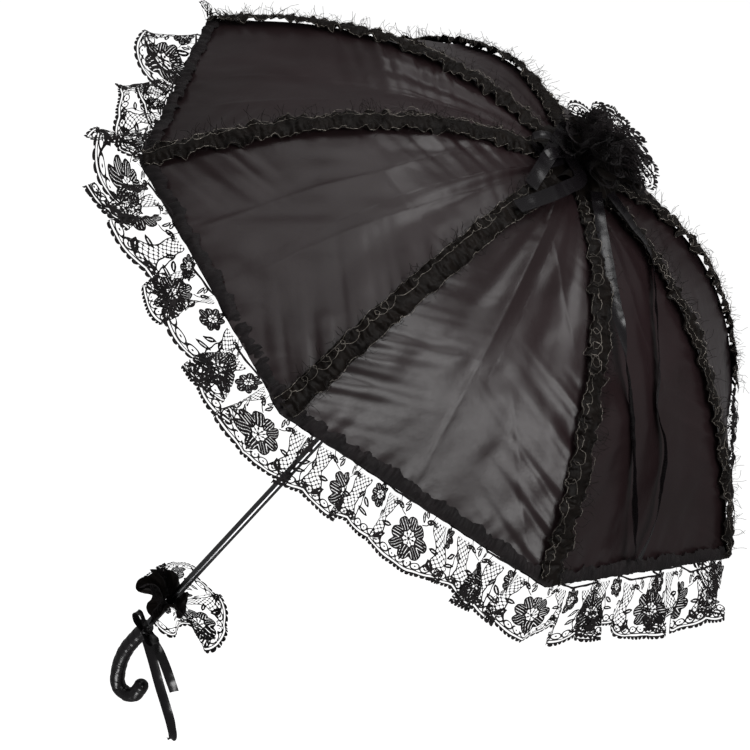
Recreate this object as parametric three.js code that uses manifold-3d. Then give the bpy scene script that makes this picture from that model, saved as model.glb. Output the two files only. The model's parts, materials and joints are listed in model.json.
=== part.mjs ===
// Lace parasol, open: an eight-rib folding frame on a steel shaft with a hooked handle, a satin
// canopy of eight gores, gathered lace round its rim, at its top and above its grip, and satin ribbons.
// Millimetres, +Z up. The origin is on the shaft's axis at the top of the handle.
// Rib 0 lies along +X and the others follow anticlockwise seen from above.
import * as THREE from "three";
import { mergeVertices } from "three/addons/utils/BufferGeometryUtils.js";
import Module from "manifold-3d";

const wasm = await Module();
wasm.setup();

// Driving dimensions.
const RIBS = 8;
const PANEL_ANGLE = (2 * Math.PI) / RIBS;
const GAP = 0.3; // between pieces that touch
const WALL_GAP = 0.4; // beside pieces that move

const NOTCH_Z = 660; // the plane of the rib hinges
const HINGE_RADIUS = 10; // of the circles of hinges at the notch and at the runner

const RIB_LENGTH = 347;
const RIB_RADIUS = 1.5;
const RIB_START_SLOPE = -8; // degrees below level at the hinge: it leaves slightly uphill
const RIB_SLOPE_GAIN = 90; // degrees of bend along the rib ...
const RIB_SLOPE_EASE = -34; // ... which eases off toward the tip
const RIB_TIP_RADIUS = 2.6;
const EYE_RADIUS = 3.2;
const EYE_THICKNESS = 2.2;
const HINGE_WIRE_RADIUS = 0.6;

const JOINER_AT = 150; // along the rib
const JOINER_DROP = 5.2; // of its pin below the rib's middle
const JOINER_LENGTH = 12;
const JOINER_WIDTH = 4.8;
const JOINER_PIN_RADIUS = 0.8;

const RUNNER_DROP = 110; // of the runner's hinges below the notch's, when open
const STRETCHER_RADIUS = 1.3;
const STRETCHER_EYE_RADIUS = 2.6;
const RUNNER_EYE_RADIUS = 2.2;

const SHAFT_RADIUS = 4;
const SHAFT_BORE = 3;
const SHAFT_TOP = NOTCH_Z + 12;
const SHAFT_IN_HANDLE = 28;

const FERRULE_RADIUS = 5.4;
const FERRULE_TOP = SHAFT_TOP + 10;

const NOTCH_RADIUS = 13;
const NOTCH_HALF_HEIGHT = 4.5;
const SLOT_WIDTH = 3.6;

const RUNNER_BORE = SHAFT_RADIUS + 0.35;
const RUNNER_SLEEVE_RADIUS = 7;
const RUNNER_CROWN_HALF_HEIGHT = 5;
const RUNNER_SLEEVE_LENGTH = 44;
const RUNNER_FOOT_RADIUS = 9;
const RUNNER_FOOT_HEIGHT = 8;
const RUNNER_TRAVEL = 190.3;
const RUNNER_Z = NOTCH_Z - RUNNER_DROP; // of its hinges, when open
const RUNNER_BOTTOM = RUNNER_Z - RUNNER_SLEEVE_LENGTH;
const STOP_CLEARANCE = 0.5; // of the stop pin and the top catch from the open runner
const STOP_PIN_RADIUS = 0.8;
const STOP_PIN_Z = RUNNER_Z + RUNNER_CROWN_HALF_HEIGHT + STOP_PIN_RADIUS + STOP_CLEARANCE;
const CATCH_AZIMUTH = PANEL_ANGLE / 2;
const CATCH_REACH = 1.9; // how far a catch's nose stands out of the shaft
const CATCH_LENGTH = 12;
const CATCH_THICKNESS = 1.6;
const CATCH_GROOVE_RADIUS = SHAFT_RADIUS + CATCH_REACH + 0.3;
const TOP_CATCH_Z = RUNNER_BOTTOM - STOP_CLEARANCE; // of each nose's square end
const BOTTOM_CATCH_Z = TOP_CATCH_Z - RUNNER_TRAVEL;

const CANOPY_LIFT = 3.4; // of the satin's middle above the rib's middle
const CANOPY_THICKNESS = 1.2;
const CANOPY_SAG = 5; // of a gore's middle toward the shaft
const CANOPY_START = 6; // along the rib
const CAP_RADIUS = 24;

const RUCHE_WIDTH = 17;
const RUCHE_START = 44;
const RUCHE_END = 343;
const RUCHE_LIFT = 6.6;
const RUCHE_WAVE = 1.6;
const RUCHE_WAVES = 11;

const FRILL_WIDTH = 49;
const FRILL_SLOPE = THREE.MathUtils.degToRad(52); // below level
const FRILL_WAVE = 6;
const FRILL_WAVES = 4; // per panel
const LACE_THICKNESS = 1.2;

const ROSETTE_SLANT = 62;
const ROSETTE_HALF_ANGLE = THREE.MathUtils.degToRad(40);
const ROSETTE_LEAN = THREE.MathUtils.degToRad(16); // toward +X
const ROSETTE_NECK = 9;
const ROSETTE_WAVES = 9;

const CUFF_Z = 47;
const CUFF_RADIUS = 46;
const CUFF_DROP = 8;
const CUFF_WAVES = 6;

const RIBBON_WIDTH = 8;
const RIBBON_THICKNESS = 0.9;

const HANDLE_RADIUS = 7.2;
const HANDLE_STRAIGHT = 31;
const HANDLE_BEND_RADIUS = 85;
const HANDLE_BEND = THREE.MathUtils.degToRad(34);
const HOOK_RADIUS = 12.5;
const HOOK_BEND = THREE.MathUtils.degToRad(153);
const HOOK_END = 9;

// Materials.
const finish = (color, roughness, metalness) =>
  new THREE.MeshStandardMaterial({ color, roughness, metalness });
const steel = () => finish(0xb9bcc0, 0.22, 1);
const blackMetal = () => finish(0x17171a, 0.4, 0.8);
const blackPlastic = () => finish(0x121214, 0.45, 0);
const satin = () => finish(0x2a2426, 0.38, 0);
const lace = () => finish(0x141013, 0.8, 0);
const organza = () => finish(0x1e1815, 0.6, 0.1);
const ribbon = () => finish(0x131116, 0.3, 0);
const wrappedGrip = () => finish(0x100f12, 0.32, 0);

// Solids and booleans.
function positionsOnly(geometry) {
  const loose = geometry.index ? geometry.toNonIndexed() : geometry;
  const bare = new THREE.BufferGeometry();
  bare.setAttribute("position", loose.getAttribute("position"));
  return mergeVertices(bare, 1e-3);
}

function solidOf(geometry) {
  const merged = positionsOnly(geometry);
  return new wasm.Manifold(
    new wasm.Mesh({
      numProp: 3,
      vertProperties: merged.attributes.position.array,
      triVerts: new Uint32Array(merged.index.array),
    }),
  );
}

function geometryOf(solid) {
  const mesh = solid.getMesh();
  const geometry = new THREE.BufferGeometry();
  geometry.setAttribute("position", new THREE.BufferAttribute(mesh.vertProperties, 3));
  geometry.setIndex(new THREE.BufferAttribute(mesh.triVerts, 1));
  return geometry;
}

const join = (...solids) => solids.reduce((all, one) => all.add(one));
const cut = (solid, ...tools) => tools.reduce((left, tool) => left.subtract(tool), solid);
const turnedAbout = (solid, angle) => solid.rotate([0, 0, THREE.MathUtils.radToDeg(angle)]);

// A cylinder with its axis along Z from z0 to z1.
function post(radius, z0, z1, sides = 24) {
  const geometry = new THREE.CylinderGeometry(radius, radius, z1 - z0, sides);
  geometry.rotateX(Math.PI / 2).translate(0, 0, (z0 + z1) / 2);
  return solidOf(geometry);
}

// A cylinder along Y, centred on a point of the XZ plane: an eye, a pin or a hole.
function crossPin(radius, length, x, z, sides = 10) {
  return solidOf(new THREE.CylinderGeometry(radius, radius, length, sides).translate(x, 0, z));
}

function box(sizeX, sizeY, sizeZ, x, y, z) {
  return solidOf(new THREE.BoxGeometry(sizeX, sizeY, sizeZ).translate(x, y, z));
}

function ringWire(radius, wireRadius, z) {
  return solidOf(new THREE.TorusGeometry(radius, wireRadius, 5, 24).translate(0, 0, z));
}

// A solid of revolution round Z from [radius, height] pairs that close on themselves.
function turned(profile, sides = 24) {
  const points = profile.map(([radius, height]) => new THREE.Vector2(radius, height));
  points.push(points[0].clone());
  const geometry = positionsOnly(new THREE.LatheGeometry(points, sides).rotateX(Math.PI / 2));
  return facingOut(geometry);
}

function facingOut(geometry) {
  const position = geometry.getAttribute("position");
  const index = geometry.index.array;
  const [a, b, c] = [new THREE.Vector3(), new THREE.Vector3(), new THREE.Vector3()];
  let volume = 0;
  for (let i = 0; i < index.length; i += 3) {
    a.fromBufferAttribute(position, index[i]);
    b.fromBufferAttribute(position, index[i + 1]);
    c.fromBufferAttribute(position, index[i + 2]);
    volume += a.dot(b.cross(c));
  }
  if (volume < 0) {
    for (let i = 0; i < index.length; i += 3) {
      [index[i + 1], index[i + 2]] = [index[i + 2], index[i + 1]];
    }
  }
  return geometry;
}

// A sheet as a closed solid: pointAt(u, v) gives { at, normal }, with u and v from 0 to 1.
// A looped sheet joins its two ends in u.
function sheetSolid({ alongCount, acrossCount, thickness, pointAt, looped = false }) {
  const columns = looped ? alongCount : alongCount + 1;
  const rows = acrossCount + 1;
  const vertices = [];
  for (const side of [0.5, -0.5]) {
    for (let i = 0; i < columns; i++) {
      for (let j = 0; j < rows; j++) {
        const { at, normal } = pointAt(i / alongCount, j / acrossCount);
        const vertex = at.clone().addScaledVector(normal, side * thickness);
        vertices.push(vertex.x, vertex.y, vertex.z);
      }
    }
  }
  const sheetSize = columns * rows;
  const id = (i, j, side) => side * sheetSize + (i % columns) * rows + j;
  const index = [];
  const quad = (a, b, c, d) => index.push(a, b, c, a, c, d);
  for (let i = 0; i < alongCount; i++) {
    for (let j = 0; j < acrossCount; j++) {
      quad(id(i, j, 0), id(i + 1, j, 0), id(i + 1, j + 1, 0), id(i, j + 1, 0));
      quad(id(i, j, 1), id(i, j + 1, 1), id(i + 1, j + 1, 1), id(i + 1, j, 1));
    }
    quad(id(i, 0, 0), id(i, 0, 1), id(i + 1, 0, 1), id(i + 1, 0, 0));
    quad(id(i, rows - 1, 0), id(i + 1, rows - 1, 0), id(i + 1, rows - 1, 1), id(i, rows - 1, 1));
  }
  if (!looped) {
    for (let j = 0; j < acrossCount; j++) {
      quad(id(0, j, 0), id(0, j + 1, 0), id(0, j + 1, 1), id(0, j, 1));
      quad(
        id(alongCount, j, 0),
        id(alongCount, j, 1),
        id(alongCount, j + 1, 1),
        id(alongCount, j + 1, 0),
      );
    }
  }
  const geometry = new THREE.BufferGeometry();
  geometry.setAttribute("position", new THREE.Float32BufferAttribute(vertices, 3));
  geometry.setIndex(index);
  return facingOut(geometry);
}

// A ribbon laid along a curve, with its flat side facing the direction given by faceAt(u).
function ribbonSolid(curve, faceAt, stations, width = RIBBON_WIDTH) {
  const pointAt = (u, v) => {
    const tangent = curve.getTangentAt(u);
    const across = new THREE.Vector3().crossVectors(faceAt(u), tangent).normalize();
    const normal = new THREE.Vector3().crossVectors(tangent, across);
    const at = curve.getPointAt(u).addScaledVector(across, (v - 0.5) * width);
    return { at, normal };
  };
  return sheetSolid({
    alongCount: stations,
    acrossCount: 1,
    thickness: RIBBON_THICKNESS,
    pointAt,
  });
}

// The rib's middle line in its own plane: radius, height above the hinge, and slope below level.
const ribLine = (() => {
  const steps = 200;
  const slopeAt = (u) =>
    THREE.MathUtils.degToRad(RIB_START_SLOPE + RIB_SLOPE_GAIN * u + RIB_SLOPE_EASE * u * u);
  const line = [{ radius: HINGE_RADIUS, height: 0, slope: slopeAt(0) }];
  for (let i = 1; i <= steps; i++) {
    const middle = slopeAt((i - 0.5) / steps);
    const step = RIB_LENGTH / steps;
    const last = line[i - 1];
    line.push({
      radius: last.radius + step * Math.cos(middle),
      height: last.height - step * Math.sin(middle),
      slope: slopeAt(i / steps),
    });
  }
  return line;
})();

// A point at a distance along the rib, lifted from its middle line.
function alongRib(distance, lift = 0) {
  const place = (distance / RIB_LENGTH) * (ribLine.length - 1);
  const i = Math.min(Math.floor(place), ribLine.length - 2);
  const share = place - i;
  const mix = (key) => ribLine[i][key] * (1 - share) + ribLine[i + 1][key] * share;
  const slope = mix("slope");
  return {
    x: mix("radius") + lift * Math.sin(slope),
    z: NOTCH_Z + mix("height") + lift * Math.cos(slope),
    slope,
  };
}

const around = (angle, radius, z) =>
  new THREE.Vector3(radius * Math.cos(angle), radius * Math.sin(angle), z);

function ribPoint(azimuth, distance, lift) {
  const { x, z, slope } = alongRib(distance, lift);
  return { at: around(azimuth, x, z), normal: around(azimuth, Math.sin(slope), Math.cos(slope)) };
}

// A point of the satin between rib 'panel' and the next one: distance along the ribs, share across.
function canopyPoint(panel, distance, share, lift = 0) {
  const first = ribPoint(panel * PANEL_ANGLE, distance, CANOPY_LIFT);
  const second = ribPoint((panel + 1) * PANEL_ANGLE, distance, CANOPY_LIFT);
  const normal = first.normal.clone().lerp(second.normal, share).normalize();
  const sag = CANOPY_SAG * 4 * share * (1 - share) * Math.sin((Math.PI * distance) / RIB_LENGTH);
  const at = first.at.clone().lerp(second.at, share).addScaledVector(normal, lift - sag);
  return { at, normal };
}

// The frame.
function shaft() {
  const tube = cut(
    post(SHAFT_RADIUS, -SHAFT_IN_HANDLE, SHAFT_TOP),
    post(SHAFT_BORE, -SHAFT_IN_HANDLE - 1, SHAFT_TOP + 1),
  );
  const windows = [TOP_CATCH_Z, BOTTOM_CATCH_Z].map((z) =>
    turnedAbout(
      box(
        SHAFT_RADIUS + 1,
        CATCH_THICKNESS + 2 * GAP,
        CATCH_LENGTH + 2 * GAP,
        (SHAFT_RADIUS + 1) / 2 + 1.5,
        0,
        z - CATCH_LENGTH / 2,
      ),
      CATCH_AZIMUTH,
    ),
  );
  const pinHole = crossPin(STOP_PIN_RADIUS + GAP, 4 * SHAFT_RADIUS, 0, STOP_PIN_Z);
  return geometryOf(cut(tube, ...windows, pinHole));
}

// Radial slots, open outward and at both ends, from a radius to beyond the crown.
function radialSlots(fromRadius, width, z0, z1) {
  const reach = NOTCH_RADIUS + 2 - fromRadius;
  return Array.from({ length: RIBS }, (_, i) =>
    turnedAbout(
      box(reach, width, z1 - z0, fromRadius + reach / 2, 0, (z0 + z1) / 2),
      i * PANEL_ANGLE,
    ),
  );
}

function notch() {
  const [z0, z1] = [NOTCH_Z - NOTCH_HALF_HEIGHT, NOTCH_Z + NOTCH_HALF_HEIGHT];
  const crown = cut(
    post(NOTCH_RADIUS, z0, z1, 32),
    post(SHAFT_RADIUS + GAP, z0 - 1, z1 + 1),
    ringWire(HINGE_RADIUS, HINGE_WIRE_RADIUS + GAP, NOTCH_Z),
  );
  return geometryOf(cut(crown, ...radialSlots(5.8, SLOT_WIDTH, z0 - 1, z1 + 1)));
}

function runner() {
  const [z0, z1] = [RUNNER_Z - RUNNER_CROWN_HALF_HEIGHT, RUNNER_Z + RUNNER_CROWN_HALF_HEIGHT];
  const crown = cut(
    post(NOTCH_RADIUS, z0, z1, 32),
    ...radialSlots(RUNNER_SLEEVE_RADIUS + WALL_GAP, SLOT_WIDTH, z0 - 1, z1 + 1),
  );
  const sleeve = post(RUNNER_SLEEVE_RADIUS, RUNNER_BOTTOM, z1);
  const foot = post(RUNNER_FOOT_RADIUS, RUNNER_BOTTOM, RUNNER_BOTTOM + RUNNER_FOOT_HEIGHT);
  const bore = post(RUNNER_BORE, RUNNER_BOTTOM - 1, z1 + 1);
  const groove = turnedAbout(
    box(
      CATCH_GROOVE_RADIUS,
      CATCH_THICKNESS + 2 * WALL_GAP,
      z1 - RUNNER_BOTTOM + 2,
      CATCH_GROOVE_RADIUS / 2,
      0,
      (z1 + RUNNER_BOTTOM) / 2,
    ),
    CATCH_AZIMUTH,
  );
  return geometryOf(cut(join(crown, sleeve, foot), bore, groove));
}

// A sprung catch: a leaf inside the tube with a wedge nose outside, square end up.
function catchLeaf(topZ) {
  const nose = new THREE.Shape([
    new THREE.Vector2(0.4, topZ - CATCH_LENGTH + GAP),
    new THREE.Vector2(SHAFT_RADIUS, topZ - CATCH_LENGTH + GAP),
    new THREE.Vector2(SHAFT_RADIUS + CATCH_REACH, topZ - 2),
    new THREE.Vector2(SHAFT_RADIUS + CATCH_REACH, topZ - GAP),
    new THREE.Vector2(0.4, topZ - GAP),
  ]);
  const leaf = new THREE.ExtrudeGeometry(nose, { depth: CATCH_THICKNESS, bevelEnabled: false });
  leaf.translate(0, 0, -CATCH_THICKNESS / 2).rotateX(Math.PI / 2).rotateZ(CATCH_AZIMUTH);
  return leaf;
}

function ribSolid() {
  const stations = 9;
  const [start, end] = [1.6, RIB_LENGTH - 2];
  const points = Array.from({ length: stations }, (_, i) => {
    const { x, z } = alongRib(start + ((end - start) * i) / (stations - 1));
    return new THREE.Vector3(x, 0, z);
  });
  const wire = hexWire(points, RIB_RADIUS);
  const tip = alongRib(RIB_LENGTH - 3);
  const bead = solidOf(
    new THREE.IcosahedronGeometry(RIB_TIP_RADIUS, 0).translate(tip.x, 0, tip.z - 1),
  );
  const eye = crossPin(EYE_RADIUS, EYE_THICKNESS, HINGE_RADIUS, NOTCH_Z);
  const hole = crossPin(HINGE_WIRE_RADIUS + WALL_GAP, 2 * EYE_THICKNESS, HINGE_RADIUS, NOTCH_Z);
  return cut(join(wire, bead, eye, joiner()), hole);
}

// A six-sided wire through the points of a curve that lies in the XZ plane.
function hexWire(points, radius) {
  const section = new THREE.Shape(
    Array.from({ length: 6 }, (_, i) => {
      const angle = (i * Math.PI) / 3;
      return new THREE.Vector2(radius * Math.cos(angle), radius * Math.sin(angle));
    }),
  );
  const path = new THREE.CatmullRomCurve3(points);
  const wire = new THREE.ExtrudeGeometry(section, {
    steps: points.length - 1,
    extrudePath: path,
    bevelEnabled: false,
  });
  return solidOf(wire);
}

// The joiner: a clamp round the rib with two cheeks and the pin that the stretcher turns on.
function joiner() {
  const cheekLength = 6;
  const clampBottom = -2.4;
  const cheekBottom = -JOINER_DROP - 2.6;
  const clamp = box(JOINER_LENGTH, JOINER_WIDTH, 3.9, 0, 0, clampBottom + 1.95);
  const cheeks = cut(
    box(cheekLength, JOINER_WIDTH, -1 - cheekBottom, 0, 0, (cheekBottom - 1) / 2),
    box(2 * cheekLength, EYE_THICKNESS + 0.6, 10, 0, 0, clampBottom - 5),
  );
  const pin = crossPin(JOINER_PIN_RADIUS, JOINER_WIDTH - 0.4, 0, -JOINER_DROP, 10);
  const { x, z, slope } = alongRib(JOINER_AT);
  const turn = [0, THREE.MathUtils.radToDeg(slope), 0];
  return join(clamp, cheeks, pin).rotate(turn).translate([x, 0, z]);
}

function stretcherSolid() {
  const outer = alongRib(JOINER_AT, -JOINER_DROP);
  const from = new THREE.Vector3(outer.x, 0, outer.z);
  const to = new THREE.Vector3(HINGE_RADIUS, 0, RUNNER_Z);
  const rod = hexWire([from, to], STRETCHER_RADIUS);
  const eyes = join(
    crossPin(STRETCHER_EYE_RADIUS, EYE_THICKNESS, from.x, from.z),
    crossPin(RUNNER_EYE_RADIUS, EYE_THICKNESS, to.x, to.z),
  );
  const pinHole = crossPin(JOINER_PIN_RADIUS + 0.35, 2 * JOINER_WIDTH, from.x, from.z, 10);
  const wireHole = crossPin(HINGE_WIRE_RADIUS + GAP, 2 * JOINER_WIDTH, to.x, to.z, 10);
  return cut(join(rod, eyes), pinHole, wireHole);
}

function ferrule() {
  const z0 = NOTCH_Z + NOTCH_HALF_HEIGHT + 4.6;
  const collar = post(FERRULE_RADIUS + 2, z0, z0 + 2);
  const body = post(FERRULE_RADIUS, z0, FERRULE_TOP);
  return geometryOf(cut(join(collar, body), post(SHAFT_RADIUS + GAP, z0 - 1, SHAFT_TOP + GAP)));
}

// The satin cap that covers the gores' inner edges.
function canopyCap() {
  const rest = NOTCH_Z + NOTCH_HALF_HEIGHT + 1.4;
  return turned([
    [SHAFT_RADIUS + GAP, rest],
    [CAP_RADIUS, rest],
    [CAP_RADIUS, rest + 1],
    [12, rest + 2.8],
    [SHAFT_RADIUS + GAP, rest + 2.8],
  ]);
}

// The handle.
function handleCurve() {
  const path = new THREE.CurvePath();
  const points = [new THREE.Vector3(0, 0, 0)];
  let [x, z, heading] = [0, 0, 0]; // heading from straight down toward +X
  const walk = (length, turn, count) => {
    for (let i = 0; i < count; i++) {
      heading += turn / count / 2;
      x += (length / count) * Math.sin(heading);
      z -= (length / count) * Math.cos(heading);
      heading += turn / count / 2;
      points.push(new THREE.Vector3(x, 0, z));
    }
  };
  walk(HANDLE_STRAIGHT, 0, 2);
  walk(HANDLE_BEND_RADIUS * HANDLE_BEND, HANDLE_BEND, 4);
  walk(HOOK_RADIUS * HOOK_BEND, HOOK_BEND, 9);
  walk(HOOK_END, 0, 1);
  return new THREE.CatmullRomCurve3(points);
}

function handle() {
  const curve = handleCurve();
  const sides = 12;
  const section = new THREE.Shape(
    Array.from({ length: sides }, (_, i) => {
      const angle = (i * 2 * Math.PI) / sides;
      return new THREE.Vector2(HANDLE_RADIUS * Math.cos(angle), HANDLE_RADIUS * Math.sin(angle));
    }),
  );
  const grip = solidOf(
    new THREE.ExtrudeGeometry(section, { steps: 24, extrudePath: curve, bevelEnabled: false }),
  );
  const end = curve.getPoint(1);
  const tip = solidOf(
    new THREE.IcosahedronGeometry(HANDLE_RADIUS, 1).translate(end.x, end.y, end.z),
  );
  const socket = post(SHAFT_RADIUS + GAP, -SHAFT_IN_HANDLE - 1, 1);
  return geometryOf(cut(join(grip, tip), socket));
}

// The soft parts.
function gore(panel) {
  const pointAt = (u, v) => {
    const distance = CANOPY_START + (RIB_LENGTH - CANOPY_START) * u;
    const width = 2 * alongRib(distance).x * Math.sin(PANEL_ANGLE / 2);
    const margin = 0.25 / width;
    return canopyPoint(panel, distance, margin + (1 - 2 * margin) * v);
  };
  return sheetSolid({ alongCount: 9, acrossCount: 4, thickness: CANOPY_THICKNESS, pointAt });
}

function ruche(rib) {
  const azimuth = rib * PANEL_ANGLE;
  const across = around(azimuth + Math.PI / 2, 1, 0);
  const pointAt = (u, v) => {
    const distance = RUCHE_START + (RUCHE_END - RUCHE_START) * u;
    const wave = RUCHE_WAVE * Math.sin(2 * Math.PI * RUCHE_WAVES * u + v * Math.PI);
    const { at, normal } = ribPoint(azimuth, distance, RUCHE_LIFT + wave);
    return { at: at.addScaledVector(across, (v - 0.5) * RUCHE_WIDTH), normal };
  };
  return sheetSolid({
    alongCount: 2 * RUCHE_WAVES,
    acrossCount: 1,
    thickness: LACE_THICKNESS,
    pointAt,
  });
}

// One panel's length of rim frill, centred on a rib's tip.
function frill(rib) {
  const azimuth = rib * PANEL_ANGLE;
  const half = PANEL_ANGLE / 2;
  const corner = ribPoint(azimuth, RIB_LENGTH, CANOPY_LIFT).at;
  const sideMiddle = (side) =>
    corner.clone().lerp(ribPoint(azimuth + side * PANEL_ANGLE, RIB_LENGTH, CANOPY_LIFT).at, 0.5);
  const middles = { left: sideMiddle(-1), right: sideMiddle(1) };
  const pointAt = (u, v) => {
    const along = (2 * u - 1) * 0.996;
    const middle = along < 0 ? middles.left : middles.right;
    const edge = corner.clone().lerp(middle, Math.abs(along));
    const angle = azimuth + along * half;
    const outward = around(angle, Math.cos(FRILL_SLOPE), -Math.sin(FRILL_SLOPE));
    const normal = around(angle, Math.sin(FRILL_SLOPE), Math.cos(FRILL_SLOPE));
    const wave = v * FRILL_WAVE * Math.sin(2 * Math.PI * FRILL_WAVES * u);
    edge.addScaledVector(outward, 1.2 + v * FRILL_WIDTH).addScaledVector(normal, wave);
    return { at: edge, normal };
  };
  return sheetSolid({
    alongCount: 6 * FRILL_WAVES,
    acrossCount: 1,
    thickness: LACE_THICKNESS,
    pointAt,
  });
}

// Lace gathered round the shaft: profileAt(v, wave) gives [radius, height, lean].
function gatheredRing(waves, profileAt) {
  const pointAt = (u, v) => {
    const angle = 2 * Math.PI * u;
    const wave = Math.sin(angle * waves);
    const place = (share) => {
      const [radius, height, lean] = profileAt(share, wave);
      const at = around(angle, radius, height);
      at.x += lean;
      return at;
    };
    const step = 0.01;
    const across = place(v + step).sub(place(v - step)).normalize();
    const around90 = around(angle + Math.PI / 2, 1, 0);
    return { at: place(v), normal: new THREE.Vector3().crossVectors(around90, across).normalize() };
  };
  return sheetSolid({
    alongCount: 4 * waves,
    acrossCount: 2,
    thickness: LACE_THICKNESS,
    pointAt,
    looped: true,
  });
}

function rosette() {
  const neckZ = SHAFT_TOP + 1;
  return gatheredRing(ROSETTE_WAVES, (v, wave) => {
    const slant = v * ROSETTE_SLANT;
    const rise = slant * Math.cos(ROSETTE_HALF_ANGLE) + wave * v * 4;
    const radius = ROSETTE_NECK + slant * Math.sin(ROSETTE_HALF_ANGLE) * 0.85 + wave * v * 3;
    return [radius, neckZ + rise, rise * Math.tan(ROSETTE_LEAN) * v];
  });
}

function cuff() {
  return gatheredRing(CUFF_WAVES, (v, wave) => {
    const radius = SHAFT_RADIUS + 1.4 + v * (CUFF_RADIUS - SHAFT_RADIUS - 1.4);
    return [radius, CUFF_Z - CUFF_DROP * v * v + wave * v * 9, 0];
  });
}

// A ribbon loop that leaves a knot, runs out along a direction and comes back above itself.
function loopCurve(from, outward, length, rise) {
  const up = new THREE.Vector3(0, 0, 1);
  const at = (out, lift) =>
    from.clone().addScaledVector(outward, out * length).addScaledVector(up, lift * rise);
  return new THREE.CatmullRomCurve3([
    at(0, 0),
    at(0.35, -0.25),
    at(0.75, -0.45),
    at(1, 0),
    at(0.75, 0.5),
    at(0.35, 0.3),
    at(0, 0.15),
  ]);
}

function bow(knotCentre, knotSize, loops) {
  const knot = solidOf(
    new THREE.IcosahedronGeometry(1, 1)
      .scale(knotSize, knotSize, knotSize)
      .translate(knotCentre.x, knotCentre.y, knotCentre.z),
  );
  const ribbons = loops.map(({ azimuth, length, rise, dip }) => {
    const outward = around(azimuth, Math.cos(dip), -Math.sin(dip));
    const curve = loopCurve(knotCentre, outward, length, rise);
    const side = around(azimuth + Math.PI / 2, 1, 0);
    const faceAt = (u) => new THREE.Vector3().crossVectors(curve.getTangentAt(u), side);
    return solidOf(ribbonSolid(curve, faceAt, 12));
  });
  return geometryOf(join(knot, ...ribbons));
}

// A streamer from the rosette's neck over a gore: shares are across the gore at its top and foot.
function streamer(panel, topShare, footShare) {
  const curve = new THREE.CatmullRomCurve3(
    Array.from({ length: 12 }, (_, i) => {
      const u = i / 11;
      const distance = 28 + (RIB_LENGTH - 32) * u;
      const share = topShare + (footShare - topShare) * Math.min(1, 1.25 * u);
      return canopyPoint(panel, distance, share, 2.2).at;
    }),
  );
  const normal = canopyPoint(panel, RIB_LENGTH / 2, (topShare + footShare) / 2).normal;
  return ribbonSolid(curve, () => normal, 16);
}

// A tail of the handle's bow, from the knot outward and down.
function tail(start, outward, drop) {
  const curve = new THREE.QuadraticBezierCurve3(
    start,
    start.clone().add(new THREE.Vector3(outward * 0.5, 0, -drop * 0.35)),
    start.clone().add(new THREE.Vector3(outward, 0, -drop)),
  );
  const side = new THREE.Vector3(0, 1, 0);
  return ribbonSolid(
    curve,
    (u) => new THREE.Vector3().crossVectors(curve.getTangentAt(u), side),
    8,
  );
}

// The assembly.
const parasol = new THREE.Group();
parasol.name = "lace_parasol";

function add(name, geometry, material) {
  const mesh = new THREE.Mesh(geometry, material);
  mesh.name = name;
  parasol.add(mesh);
}

function addAround(name, geometry, material) {
  for (let i = 0; i < RIBS; i++) {
    add(`${name}_${i}`, geometry.clone().rotateZ(i * PANEL_ANGLE), material());
  }
}

add("shaft", shaft(), steel());
add("notch", notch(), blackPlastic());
add("notch_wire", geometryOf(ringWire(HINGE_RADIUS, HINGE_WIRE_RADIUS, NOTCH_Z)), steel());
add("runner", runner(), blackPlastic());
add("stop_pin", geometryOf(crossPin(STOP_PIN_RADIUS, 12, 0, STOP_PIN_Z)), steel());
add("top_catch", catchLeaf(TOP_CATCH_Z), steel());
add("bottom_catch", catchLeaf(BOTTOM_CATCH_Z), steel());
add("ferrule", ferrule(), blackPlastic());
add("canopy_cap", canopyCap(), satin());
addAround("rib", geometryOf(ribSolid()), blackMetal);
addAround("stretcher", geometryOf(stretcherSolid()), blackMetal);
add("handle", handle(), wrappedGrip());
for (let i = 0; i < RIBS; i++) {
  add(`gore_${i}`, gore(i), satin());
  add(`ruche_${i}`, ruche(i), organza());
  add(`frill_${i}`, frill(i), lace());
}
add("rosette", rosette(), lace());
add("cuff", cuff(), lace());

const TOP_KNOT = around(THREE.MathUtils.degToRad(244), 17, NOTCH_Z + 17);
add(
  "top_bow",
  bow(TOP_KNOT, 4, [
    { azimuth: THREE.MathUtils.degToRad(212), length: 34, rise: 14, dip: 0.05 },
    { azimuth: THREE.MathUtils.degToRad(266), length: 62, rise: 9, dip: 0.06 },
  ]),
  ribbon(),
);
const STREAMER_PANEL = RIBS - 1;
add("streamer_0", streamer(STREAMER_PANEL, 0.3, 0.44), ribbon());
add("streamer_1", streamer(STREAMER_PANEL, 0.72, 0.58), ribbon());

const GRIP_KNOT = new THREE.Vector3(4, -13, 5);
add(
  "handle_bow",
  bow(GRIP_KNOT, 4.5, [
    { azimuth: THREE.MathUtils.degToRad(190), length: 26, rise: 12, dip: -0.5 },
    { azimuth: THREE.MathUtils.degToRad(330), length: 22, rise: 12, dip: -0.3 },
  ]),
  ribbon(),
);
add("tail_0", tail(new THREE.Vector3(9, -14, -1), 84, 78), ribbon());
add("tail_1", tail(new THREE.Vector3(13, -25, -3), 45, 32), ribbon());

export default parasol;
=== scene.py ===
"""Lace parasol: the looks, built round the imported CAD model. Metres, +Z up the shaft."""

import json
import math

import bpy
import numpy as np
from mathutils import Matrix, Vector


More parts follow.
